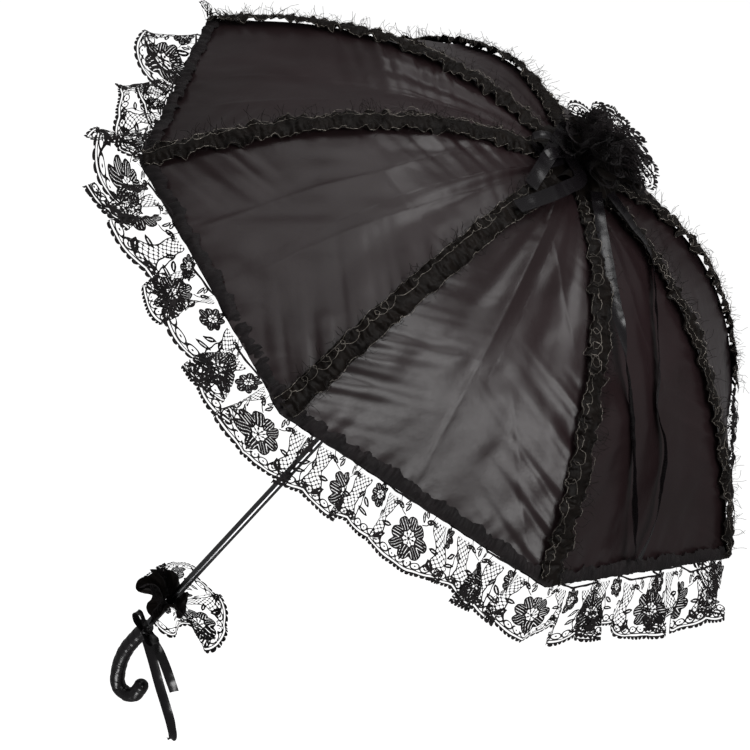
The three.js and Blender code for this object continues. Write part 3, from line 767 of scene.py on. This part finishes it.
REPEAT_FIELD, LACE_V = lace_repeat()
REPEAT_COLUMNS = REPEAT_FIELD.shape[1]


def outlined(field):
    """The thread's outline on a grid: grid coordinates of the points, and faces by corner count."""
    rows, columns = field.shape
    inside = field > 0
    i, j = np.mgrid[0:rows, 0:columns]
    grid = np.stack([i.ravel(), j.ravel()], -1).astype(float)

    def cut(one, other):
        return np.clip(one / np.where(one == other, 1, one - other), 0.02, 0.98)

    level = np.stack([i[:, :-1], j[:, :-1] + cut(field[:, :-1], field[:, 1:])], -1).reshape(-1, 2)
    upright = np.stack([i[:-1] + cut(field[:-1], field[1:]), j[:-1]], -1).reshape(-1, 2)
    points = np.concatenate([grid, level, upright])
    level_at, upright_at = rows * columns, rows * columns + rows * (columns - 1)
    a, b = np.mgrid[0 : rows - 1, 0 : columns - 1]
    first = a * columns + b
    corner = np.stack([first, first + 1, first + columns + 1, first + columns])
    above = level_at + a * (columns - 1) + b
    side = np.stack([above, upright_at + first + 1, above + columns - 1, upright_at + first])
    states = [inside[:-1, :-1], inside[:-1, 1:], inside[1:, 1:], inside[1:, :-1]]
    case = sum(state.astype(int) << k for k, state in enumerate(states))
    faces = []
    for number in range(1, 16):
        here = case == number
        if not here.any():
            continue
        walk = []
        for k in range(4):
            now, after = number >> k & 1, number >> (k + 1) % 4 & 1
            walk.extend([corner[k]] * now + [side[k]] * (now != after))
        faces.append(np.stack([w[here] for w in walk], -1))
    used = np.unique(np.concatenate([f.ravel() for f in faces]))
    renumber = np.zeros(len(points), np.int64)
    renumber[used] = np.arange(len(used))
    height = np.concatenate([np.clip(field.ravel(), 0, LACE_STEP), np.zeros(len(level) + len(upright))])
    return points[used], height[used], [renumber[f] for f in faces]


def lace_strip(first, columns):
    """Lace from a grid column on: its flat (along, across), thread height and faces."""
    picked = (first + np.arange(columns + 1)) % REPEAT_COLUMNS
    points, height, faces = outlined(REPEAT_FIELD[:, picked])
    along = (first + points[:, 1]) * LACE_REPEAT / REPEAT_COLUMNS
    across = np.interp(points[:, 0], np.arange(len(LACE_V)), LACE_V)
    return along, across, height, faces


# ---------------------------------------------------------------- frill and header at the canopy's edge
PANEL_FLAT = REPEATS_A_PANEL * LACE_REPEAT
PATH_STEPS = 640
FOLDS = 6
FOLD_LEVELS = 9


def panel_folds(panel):
    """Where the frill runs: along and out of its panel, for flat lengths (columns) and depths (rows)."""
    draw = np.random.default_rng(100 + panel)
    t = np.linspace(0, PANEL_FLAT, PATH_STEPS + 1)
    middle = (t[1:] + t[:-1]) / 2
    turn = np.zeros(PATH_STEPS)
    pitch = PANEL_FLAT / FOLDS
    sense = 1
    for k in range(FOLDS):
        centre = (k + 0.5 + draw.uniform(-0.14, 0.14)) * pitch
        back = draw.uniform(0.014, 0.022)
        bend = draw.uniform(0.004, 0.006)
        rise = smoothstep((middle - centre + back / 2 + bend) / bend)
        fall = smoothstep((middle - centre - back / 2) / bend)
        turn += sense * math.radians(draw.uniform(100, 165)) * (rise - fall)
        sense = -sense
    turn += 0.30 * smooth_noise(200 + panel, 0.020, middle)
    levels = np.linspace(0, 1, FOLD_LEVELS)[:, None]
    strength = 0.52 + 0.44 * smoothstep(levels * 1.5)
    step = PANEL_FLAT / PATH_STEPS
    start = np.zeros((FOLD_LEVELS, 1))
    x = np.concatenate([start, np.cumsum(step * np.cos(strength * turn), 1)], 1)
    y = np.concatenate([start, np.cumsum(step * np.sin(strength * turn), 1)], 1)
    share = t / PANEL_FLAT
    out = y - y[:, -1:] * share
    return x / x[:, -1:], out - 0.5 * out.mean(1, keepdims=True) * np.sin(np.pi * share)


FOLD_PATHS = [panel_folds(panel) for panel in range(RIBS)]


def grid_value(table, column, row):
    """Values between a table's entries."""
    rows, columns = table.shape
    r = np.clip(row * (rows - 1), 0, rows - 1.001)
    c = np.clip(column * (columns - 1), 0, columns - 1.001)
    i, j = r.astype(int), c.astype(int)
    a, b = r - i, c - j
    top = table[i, j] * (1 - b) + table[i, j + 1] * b
    low = table[i + 1, j] * (1 - b) + table[i + 1, j + 1] * b
    return top * (1 - a) + low * a


def flutes(along, azimuth):
    """How far the frill's slope swings from its mean: loose flutes that turn in and out along the rim."""
    calm, lively = FLUTE_SWING
    swing = calm + (lively - calm) * np.maximum(np.cos(azimuth - FLUTE_SIDE), 0)
    lap = 2 * np.pi * along / (RIBS * PANEL_FLAT)
    phase = FLUTES * RIBS * lap + 1.6 * smooth_noise(35, 0.12, np.cos(lap), np.sin(lap))
    return swing * (0.40 + np.sin(phase) + 0.30 * np.sin(2 * phase))


def frill_place(along, across):
    """Where a point of the frill's flat strip hangs round the canopy's edge."""
    panel = np.floor(along / PANEL_FLAT).astype(int)
    part = along / PANEL_FLAT - panel
    depth = np.clip(across / LACE_WIDTH, 0, 1)
    share, out, edge = np.zeros(len(along)), np.zeros(len(along)), np.zeros((len(along), 3))
    for k in np.unique(panel):
        here = panel == k
        run, stand = FOLD_PATHS[k % RIBS]
        share[here] = grid_value(run, part[here], depth[here])
        out[here] = grid_value(stand, part[here], depth[here])
        edge[here], _ = canopy_surface(k, RIB_LENGTH - 0.001, np.clip(share[here], 0, 1))
    turn = 0.17  # share of the panel over which the frill swings round a corner
    fan = 0.5 * np.sin(0.5 * np.pi * np.clip(share / turn, -1, 1))
    fan = fan + 0.5 - 0.5 * np.sin(0.5 * np.pi * np.clip((1 - share) / turn, -1, 1))
    azimuth = (panel + fan) * PANEL
    corner = np.clip(np.minimum(share, 1 - share), 0, 1)
    tucked = np.maximum(np.cos(azimuth - FRILL_TUCK_SIDE), 0) ** 2
    slope = FRILL_SLOPE + FRILL_TUCK * tucked + 0.10 * smooth_noise(31, 0.05, along)
    slope = slope - 0.05 * np.exp(-corner / 0.1) + flutes(along, azimuth)
    wave = 0.0050 * depth**1.5 * smooth_noise(32, 0.030, along)
    wave = wave + 0.0018 * depth * smooth_noise(33, 0.009, along, across)
    down = polar(azimuth, np.cos(slope), -np.sin(slope))
    face = polar(azimuth, np.sin(slope), np.cos(slope))
    reach = across * (1 + 0.03 * smooth_noise(34, 0.02, along))
    lift = 0.0006 + out * (0.35 + 0.65 * depth) + wave
    return edge + reach[:, None] * down + lift[:, None] * face


def numeric_normal(place, along, across):
    """The cloth's own direction, from small steps on its flat strip."""
    h = 0.0004
    du = place(along + h, across) - place(along - h, across)
    dv = place(along, across + h) - place(along, np.maximum(across - h, 0))
    return unit(np.cross(du, dv))


def lace_object(name, first, columns, place):
    along, across, height, faces = lace_strip(first, columns)
    points = place(along, across) + (0.6 * height)[:, None] * numeric_normal(place, along, across)
    return mesh_object(name, points, faces, LACE, np.stack([along, across], -1))


def make_frill():
    columns = REPEATS_A_PANEL * REPEAT_COLUMNS
    for rib in range(RIBS):
        obj = lace_object(f"frill_lace_{rib}", round((rib - 0.5) * columns), columns, frill_place)
        on_rib(obj, rib, f"frill_{rib}", f"frill_{(rib - 1) % RIBS}", slot="lace")


def header_place(panel, share, across):
    """The ruched band that covers the frill's seam."""
    width = gore_width(RIB_LENGTH)
    run = (panel + share) * width
    upper = 0.0022 * smooth_noise(41, 0.006, run) + 0.0012 * smooth_noise(42, 0.0022, run)
    distance = RIB_LENGTH + 0.0012 - (HEADER_WIDTH + upper) * (1 - across)
    at, normal = canopy_surface(panel, distance, share)
    fine = smooth_noise(43, 0.0024, run + 0.002 * across, across * 0.003)
    broad = smooth_noise(44, 0.0065, run, across * 0.006)
    crown = 0.0020 + 0.0016 * np.sin(np.pi * across) + 0.0017 * fine + 0.0014 * broad
    return at + crown[..., None] * normal


def make_header():
    rows, steps = 10, 150
    across = np.linspace(0, 1, rows)
    for rib in range(RIBS):
        halves = []
        for panel, share in zip((rib - 1, rib), half_shares(steps)):
            v, w = crossed(across, share)
            halves.append(header_place(panel, w, v))
        points = np.concatenate(halves, 1)
        v, u = crossed(across * HEADER_WIDTH, np.linspace(0, GORE_WIDTH, points.shape[1]))
        obj = sheet_object(f"header_{rib}", points, np.stack([u, v], -1), LACE)
        on_rib(obj, rib, slot="organza")


make_frill()
make_header()


# ---------------------------------------------------------------- ruches along the ribs
def ruche_place(rib, distance, aside):
    """A point of the gathered strip over a seam. aside runs from -1 to 1."""
    wander = 1 + 0.12 * smooth_noise(51 + rib, 0.011, distance, np.sign(aside) * 0.5)
    width = RUCHE_HALF * aside * wander
    edge = np.abs(aside) ** 3
    pleat = 0.0014 * smooth_noise(61, 0.0026, distance + 0.0015 * aside**2, aside * 0.0035 + rib)
    pleat = pleat + 0.0009 * smooth_noise(62, 0.006, distance, aside * 0.007 + rib)
    flare = 0.0042 * smooth_noise(63, 0.0050, distance, np.sign(aside) + rib) * edge
    lift = CANOPY_LIFT + 0.0016 + 0.0030 * (1 - aside**2) + pleat + flare + 0.0012 * edge
    shift = 0.0011 * smooth_noise(64, 0.005, distance, aside + rib)
    radius, height, _ = along_rib(distance + shift, lift)
    angle = rib * PANEL
    drop = CANOPY_LIFT * 0.25 * aside**2
    sideways = np.stack([-math.sin(angle) * width, math.cos(angle) * width, -drop], -1)
    return polar(angle, radius, height) + sideways


def curly_threads(rib):
    """The metallic threads that run along both edges and curl over the gathers."""
    shapes = []
    # place across the strip, swing, length of a curl
    threads = ((-0.97, 0.0013, 0.021), (-0.50, 0.0034, 0.011), (0.97, 0.0013, 0.019))
    for number, (centre, swing, curl) in enumerate(threads):
        s = np.arange(RUCHE_START, RUCHE_END, 0.0006)
        key = 10 * rib + number
        loop = s * 2 * math.pi / curl + 4.5 * smooth_noise(71 + key, 1.2 * curl, s)
        size = swing * np.clip(0.65 + 0.8 * smooth_noise(72 + key, 0.012, s), 0.1, 1.4)
        aside = centre + size * np.cos(loop) / RUCHE_HALF
        path = ruche_place(rib, s + size * np.sin(loop), np.clip(aside, -1.12, 1.12))
        path[:, 2] += 0.0007 + 0.4 * size * (1 + np.cos(loop * 0.6))
        shapes.append(tube(path, 0.00019))
    return joined(shapes)


def loose_filaments(rib, count=260):
    """Fine wiry ends that stand out of the ruche's edges."""
    draw = np.random.default_rng(500 + rib)
    shapes = []
    for _ in range(count):
        side = draw.choice([-1, 1])
        start = draw.uniform(RUCHE_START, RUCHE_END)
        root = ruche_place(rib, np.array([start]), np.array([side * draw.uniform(0.5, 1.0)]))[0]
        _, _, slope = along_rib(start)
        out = side * np.array(tangential(rib))
        up = polar(rib * PANEL, math.sin(slope), math.cos(slope))
        ahead = np.cross(out, up)
        length = draw.uniform(0.0035, 0.0130)
        lean = draw.uniform(0.2, 1.3)
        heading = unit(out * math.cos(lean) + up * math.sin(lean) + ahead * draw.uniform(-0.7, 0.7))
        t = np.linspace(0, 1, 6)[:, None]
        bend = unit(np.cross(heading, draw.normal(size=3))) * draw.uniform(0.0012, 0.0045)
        path = root + heading * length * t + bend * np.sin(t * draw.uniform(2.0, 4.5))
        shapes.append(tube(path, 0.00016, sides=3))
    return joined(shapes)


def make_ruches():
    distance = np.arange(RUCHE_START, RUCHE_END, 0.0008)
    aside = np.linspace(-1, 1, 17)
    d, w = crossed(distance, aside)
    uv = np.stack([w * RUCHE_HALF, d], -1)
    for rib in range(RIBS):
        obj = sheet_object(f"ruche_strip_{rib}", ruche_place(rib, d, w), uv, ORGANZA, flipped=True)
        on_rib(obj, rib, f"ruche_{rib}", slot="organza", folds=False)
        threads = mesh_object(f"ruche_threads_{rib}", *curly_threads(rib), GLITTER)
        on_rib(threads, rib, slot="organza", folds=False)
        ends = mesh_object(f"ruche_filaments_{rib}", *loose_filaments(rib), ORGANZA)
        on_rib(ends, rib, slot="organza", folds=False)


make_ruches()


# ---------------------------------------------------------------- rosette and cuff, gathered round the shaft
def ruffle_place(centre, drift, neck, spread, size, repeats, ruffles, deep, seed, droop=0.3, crowd=0.0):
    """A lace strip closed into a ring, gathered at its neck and ruffled at its edge.

    crowd draws its gathers toward -X, which leaves them open on the other side.
    """
    length = repeats * LACE_REPEAT
    slope = math.radians(spread)
    scale = size / LACE_WIDTH

    def place(along, across):
        turn = 2 * np.pi * along / length
        v = np.clip(across / LACE_WIDTH, 0, 1.05)
        wobble = 0.5 * smooth_noise(seed, 0.6, np.cos(turn), np.sin(turn))
        phase = ruffles * turn + 1.5 * wobble
        strength = deep * smoothstep(v * 1.15)
        spin = turn + 0.62 * (strength / 0.010) * np.sin(2 * phase) / ruffles
        curl = slope + droop * v * v + 0.18 * wobble
        reach = across * scale
        radius = neck + reach * np.sin(curl)
        rise = reach * np.cos(curl)
        ripple = strength * np.cos(phase) + 0.0020 * v * smooth_noise(seed + 1, 0.012, along % length, across)
        radius = radius + ripple * np.cos(slope)
        rise = rise - ripple * np.sin(slope)
        bent = np.clip(v, 0, 1) ** 1.5
        spin = spin + crowd * np.sin(spin)
        return polar(spin, radius, rise) + bent[:, None] * np.array(drift) + np.array(centre)

    return place


def lace_ring(name, repeats, place, size, *nodes):
    obj = lace_object(name, 0, repeats * REPEAT_COLUMNS, place)
    on_shaft(obj, *nodes, slot="lace")


def make_rosette():
    centre = (0, 0, SHAFT_TOP + 0.001)
    # name, spread from the axis, strip width, repeats, ruffles, their depth, the node it stands for
    layers = (
        ("rosette_inner", 5, 0.046, 2, 5, 0.0090, ()),
        ("rosette_middle", 14, 0.051, 3, 5, 0.0115, ()),
        ("rosette_outer", 24, 0.049, 3, 6, 0.0125, ("rosette",)),
        ("rosette_low", 36, 0.040, 3, 6, 0.0115, ()),
    )
    for number, (name, spread, size, repeats, ruffles, deep, nodes) in enumerate(layers):
        shape = (spread, size, repeats, ruffles, deep, 81 + 3 * number)
        place = ruffle_place(centre, ROSETTE_DRIFT, ROSETTE_NECK, *shape)
        lace_ring(name, repeats, place, size, *nodes)


def net_ring(name, repeats, place):
    """Gathered net inside the lace, which closes its heart."""
    rows, columns = 30, 220 * repeats
    length = repeats * LACE_REPEAT
    v, u = crossed(np.linspace(0, LACE_WIDTH, rows), np.linspace(0, length, columns + 1))
    along, across = u.ravel(), v.ravel()
    pleats = 0.0007 * smooth_noise(98, 0.0028, along % length, across * 0.06)
    points = place(along, across) + pleats[:, None] * numeric_normal(place, along, across)
    uv = np.stack([along, across], -1)
    obj = mesh_object(name, points, [grid_faces(rows, columns + 1)], ORGANZA, uv)
    on_shaft(obj, slot="lace")


def make_hearts():
    # name, height, drift, neck radius, spread from the axis, strip width, ruffles, their depth, seed, droop
    nets = (
        ("rosette_net", SHAFT_TOP - 0.001, ROSETTE_DRIFT, 0.0068, 26, 0.036, 6, 0.0080, 121, 0.3),
        ("rosette_collar", NOTCH_Z + 0.0135, (0, 0, 0), 0.0060, 80, 0.034, 7, 0.0045, 131, 0.25),
        ("cuff_net", CUFF_Z - 0.006, (-0.010, 0, 0), SHAFT_RADIUS + 0.0002, 60, 0.022, 5, 0.0080, 141, 0.3),
    )
    repeats = 2
    for name, height, drift, neck, spread, size, *shape in nets:
        place = ruffle_place((0, 0, height), drift, neck, spread, size, repeats, *shape)
        net_ring(name, repeats, place)


def make_cuff():
    centre, size, repeats = (0, 0, CUFF_Z - 0.004), 0.045, 3
    place = ruffle_place(centre, CUFF_DRIFT, CUFF_NECK, 70, size, repeats, 5, 0.0095, 97, crowd=0.4)
    lace_ring("cuff_lace", repeats, place, size, "cuff")


make_rosette()
make_cuff()
make_hearts()


# ---------------------------------------------------------------- satin cap, shaft and handle
def make_cap():
    rows, columns = 16, 120
    turn = np.arange(columns) * 2 * np.pi / columns
    reach = np.linspace(SHAFT_RADIUS + 0.0015, CAP_RADIUS, rows)
    r, a = crossed(reach, turn)
    share = (r - reach[0]) / (reach[-1] - reach[0])
    uneven = 3 * smooth_noise(91, 0.5, np.cos(a), np.sin(a))
    gathers = 0.0009 * share * (1 - 0.6 * share) * np.sin(28 * a + uneven)
    height = NOTCH_Z + 0.0098 - 0.0030 * share**2 + gathers
    uv = np.stack([a * 0.02, r], -1)
    obj = sheet_object("cap_satin", polar(a, r, height), uv, SATIN, flipped=True, closed=True)
    on_shaft(obj, "canopy_cap", slot="satin")


def swept(path, radius_of, side, sides, name, material):
    """A tube with its own texture coordinates and radius along and round the path."""
    side = unit(np.broadcast_to(side, path.shape))
    turn = np.arange(sides) * 2 * np.pi / sides
    along = lengths(path)
    s, a = crossed(along, turn)
    radius = radius_of(s / along[-1], s, a)[..., None]
    points = path[:, None] + radius * round_steps(tangents(path), side, turn)
    uv = np.stack([a * 0.007, s], -1)
    faces = [grid_faces(len(path), sides, closed=True)]
    faces.append(np.arange(sides)[::-1][None])
    faces.append((len(path) - 1) * sides + np.arange(sides)[None])
    return mesh_object(name, points, faces, material, uv)


def handle_path():
    """The handle's middle line: straight, a slow bend toward +X, then the hook."""
    bends = (
        (HANDLE_STRAIGHT, 0.0),
        (HANDLE_BEND_RADIUS * HANDLE_BEND, HANDLE_BEND),
        (HOOK_RADIUS * HOOK_BEND, HOOK_BEND),
        (HOOK_END, 0.0),
    )
    points, heading, step = [np.zeros(3)], 0.0, 0.0005
    for length, turn in bends:
        count = round(length / step)
        for _ in range(count):
            heading += turn / count / 2
            points.append(points[-1] + length / count * np.array([math.sin(heading), 0, -math.cos(heading)]))
            heading += turn / count / 2
    return np.array(points)


def wrapped_radius(share, distance, turn):
    """The grip's radius under its wound ribbon: each turn overlaps the last, and the ends round off."""
    pitch = 0.0105
    wound = (distance / pitch + turn / (2 * np.pi)) % 1
    step = 0.00045 * (smoothstep(wound / 0.12) - wound)
    ripple = 0.00018 * smooth_noise(93, 0.004, distance, np.cos(turn) * 0.006, np.sin(turn) * 0.006)
    total = distance / np.maximum(share, 1e-6)
    cap = np.clip((total - distance) / (0.9 * HANDLE_RADIUS), 0, 1)
    start = np.clip(distance / 0.0025, 0, 1)
    rounded = np.sqrt(np.maximum(1 - (1 - cap) ** 2, 0.0004)) * (0.80 + 0.20 * np.sqrt(1 - (1 - start) ** 2))
    return (HANDLE_RADIUS + step + ripple) * rounded


def make_handle():
    path = handle_path()
    extra = unit(path[-1:] - path[-2:-1])
    path = np.concatenate([path, path[-1:] + extra * np.arange(1, 15)[:, None] * 0.0005])
    obj = swept(path, wrapped_radius, (0, 1, 0), 48, "handle_wrap", RIBBON)
    on_shaft(obj, "handle", slot="grip_wrap")


def shaft_radius(share, distance, turn):
    """The shaft's radius, drawn in at its top edge."""
    return SHAFT_RADIUS * np.where(share > 0.9995, 0.88, 1.0)


def make_shaft():
    z = np.concatenate([[SHAFT_BOTTOM], np.linspace(0, SHAFT_TOP - 0.001, 60), [SHAFT_TOP]])
    path = np.stack([0 * z, 0 * z, z], -1)
    obj = swept(path, shaft_radius, (1, 0, 0), 40, "shaft_tube", STEEL)
    on_shaft(obj, "shaft", slot="steel")


make_cap()
make_handle()
make_shaft()


# ---------------------------------------------------------------- bows, streamers and tails
# Routes, given point by point. On a gore: distance from the hinge, share across the gore, height off it.
LEFT_STREAMER = (
    (0.030, 0.10, 0.012),
    (0.060, 0.06, 0.008),
    (0.090, 0.10, 0.006),
    (0.121, 0.14, 0.006),
    (0.161, 0.22, 0.007),
    (0.212, 0.31, 0.005),
    (0.263, 0.355, 0.006),
    (0.318, 0.40, 0.007),
    (0.333, 0.39, 0.014),
)
RIGHT_STREAMER = (
    (0.030, 0.72, 0.012),
    (0.060, 0.80, 0.010),
    (0.088, 0.86, 0.007),
    (0.135, 0.65, 0.006),
    (0.180, 0.56, 0.007),
    (0.212, 0.525, 0.005),
    (0.245, 0.56, 0.007),
    (0.276, 0.55, 0.005),
    (0.307, 0.515, 0.006),
    (0.334, 0.44, 0.007),
)
# Elsewhere: X, Y and Z.
TOP_KNOT = (-0.0065, -0.0170, NOTCH_Z + 0.018)
OVER_LEFT = (
    (-0.025, -0.001, 0.685),
    (-0.020, -0.025, 0.684),
    (-0.014, -0.050, 0.681),
    (-0.005, -0.084, 0.670),
)
DOWN_RIB = (
    (0.014, -0.034, 0.680),
    (0.0135, -0.060, 0.678),
    (0.0095, -0.086, 0.674),
    (0.0024, -0.116, 0.666),
)
GRIP_KNOT = (0.004, -0.013, 0.005)
LONG_TAIL = (
    (0.009, -0.014, -0.001),
    (0.030, -0.013, -0.016),
    (0.052, -0.010, -0.035),
    (0.073, -0.007, -0.052),
    (0.087, -0.004, -0.066),
    (0.094, -0.001, -0.077),
    (0.092, 0.001, -0.082),
)
SHORT_TAIL = (
    (0.009, -0.012, 0.001),
    (0.020, -0.009, -0.002),
    (0.040, -0.008, -0.012),
    (0.064, -0.006, -0.028),
)


def ribbon_shape(points, faces_toward, twist, width=RIBBON_WIDTH):
    """A ribbon along given points. twist (degrees) turns its face about its path."""
    length = np.linalg.norm(np.diff(np.asarray(points, float), axis=0), axis=1).sum()
    rows, columns = max(int(length / 0.0011), 12), 7
    path = curve_through(points, rows)
    tangent = tangents(path)
    toward = np.asarray(faces_toward, float)
    if toward.ndim > 1:
        toward = curve_through(toward, rows)
    across = unit(np.cross(tangent, np.broadcast_to(toward, path.shape)))
    normal = np.cross(across, tangent)
    angle = np.radians(np.interp(np.linspace(0, 1, rows), np.linspace(0, 1, len(twist)), twist))[:, None]
    flat = np.cos(angle) * across + np.sin(angle) * normal
    square = np.cross(flat, tangent)
    w = np.linspace(-1, 1, columns)
    s = np.linspace(0, length, rows)[:, None]
    cup = 0.0007 * (w**2)[None, :] + 0.0004 * smooth_noise(95, 0.006, s, w * 0.002)
    at = path[:, None] + (width / 2) * w[None, :, None] * flat[:, None] + cup[..., None] * square[:, None]
    uv = np.stack(np.broadcast_arrays(w[None, :] * width / 2, s), -1)
    return at.reshape(-1, 3), [grid_faces(rows, columns)], uv.reshape(-1, 2), length


def ribbon_object(name, *strips):
    """One or more ribbons as one piece, and their length together."""
    points, faces = joined([(p, f) for p, f, _, _ in strips])
    uv = np.concatenate([t for _, _, t, _ in strips])
    return mesh_object(name, points, faces, RIBBON, uv), sum(length for *_, length in strips)


def knot(centre, size):
    """A small bundle of tight turns."""
    turn = np.linspace(0, 2 * np.pi, 9)
    strips = []
    for tilt in (0.2, 1.3, 2.3):
        axis = np.array([math.cos(tilt), math.sin(tilt), 0.3])
        one = unit(np.cross(axis, (0, 0, 1)))
        other = unit(np.cross(axis, one))
        ring = centre + size * (np.cos(turn)[:, None] * one + np.sin(turn)[:, None] * other)
        away = ring - centre
        strips.append(ribbon_shape(ring, away, (5, -8, 6), width=0.006))
    return strips


def loop_points(start, azimuth, length, rise, dip):
    """A loop that leaves a knot, runs out along a direction and comes back above itself."""
    out = np.array(direction(azimuth, -math.degrees(dip)))
    up = np.array([0, 0, 1.0])
    walk = ((0, 0), (0.35, -0.25), (0.75, -0.45), (1, 0), (0.75, 0.5), (0.35, 0.3), (0, 0.15))
    return [start + out * along * length + up * lift * rise for along, lift in walk]


def loop_strip(start, azimuth, length, rise, dip, twist):
    points = loop_points(start, azimuth, length, rise, dip)
    centre = np.mean(points, axis=0)
    toward = [p - centre for p in points]
    return ribbon_shape(points, toward, twist)


def make_bow(name, centre, size, loops, replaced, ends=()):
    centre = np.array(centre)
    strips = knot(centre, size) + [loop_strip(centre, *loop) for loop in loops]
    strips += [ribbon_shape([centre, *points], toward, twist, width) for points, toward, twist, width in ends]
    obj, length = ribbon_object(name, *strips)
    on_shaft(obj, replaced, slot="ribbon")


def on_gore(panel, distance, share, lift):
    at, normal = canopy_surface(panel, np.array([distance]), np.array([share]))
    return at[0] + lift * normal[0]


def make_streamer(index, rib, route, toward, twist):
    """A ribbon from the rosette's neck down over a gore, mostly on its edge."""
    panel = RIBS - 1
    points = [on_gore(panel, *stop) for stop in route]
    obj, length = ribbon_object(f"streamer_ribbon_{index}", ribbon_shape(points, toward, twist))
    on_rib(obj, rib, f"streamer_{index}", slot="ribbon")


def make_tail(index, points, twist):
    obj, length = ribbon_object(f"tail_ribbon_{index}", ribbon_shape(points, (0, -1, 0.4), twist))
    on_shaft(obj, f"tail_{index}", slot="ribbon")


def make_ribbons():
    # azimuth, length, rise, dip, twist of each loop; points, facing, twist, width of each end
    loops = [(212, 0.034, 0.014, 0.05, (10, 0, -15)), (255, 0.036, 0.012, 0.02, (0, 20, -10, 10))]
    ends = (
        (OVER_LEFT, direction(-84, 60), (0, 5, -5, 10), 0.0120),
        (DOWN_RIB, direction(-84, 70), (0, 0, 8, -6), 0.0115),
    )
    make_bow("top_bow_ribbon", TOP_KNOT, 0.0040, loops, "top_bow", ends)
    make_streamer(0, RIBS - 1, LEFT_STREAMER, direction(-71, 43), (0, 4, -4, 10, 80, 94, 82, 100, 60))
    twist = (40, 60, 80, 95, 84, 70, 96, 108, 80, 60)
    make_streamer(1, 0, RIGHT_STREAMER, direction(-84, 31), twist)
    loops = [(190, 0.022, 0.008, -0.5, (0, 15, 0)), (330, 0.019, 0.008, -0.3, (0, -15, 5))]
    make_bow("handle_bow_ribbon", GRIP_KNOT, 0.0042, loops, "handle_bow")
    make_tail(0, LONG_TAIL, (40, 30, 22, 28, 20, 45, 60))
    make_tail(1, SHORT_TAIL, (60, 40, 20, 0))


make_ribbons()


# ---------------------------------------------------------------- finishes of the CAD pieces that still show
SLOTS = {part["node"]: part["material_slot"] for part in frame["record"]["subparts"]}
for name, node in frame["nodes"].items():
    if node.type == "MESH" and name in SLOTS and not node.hide_render:
        node.data.materials.clear()
        node.data.materials.append(CAD_FINISH[SLOTS[name]])
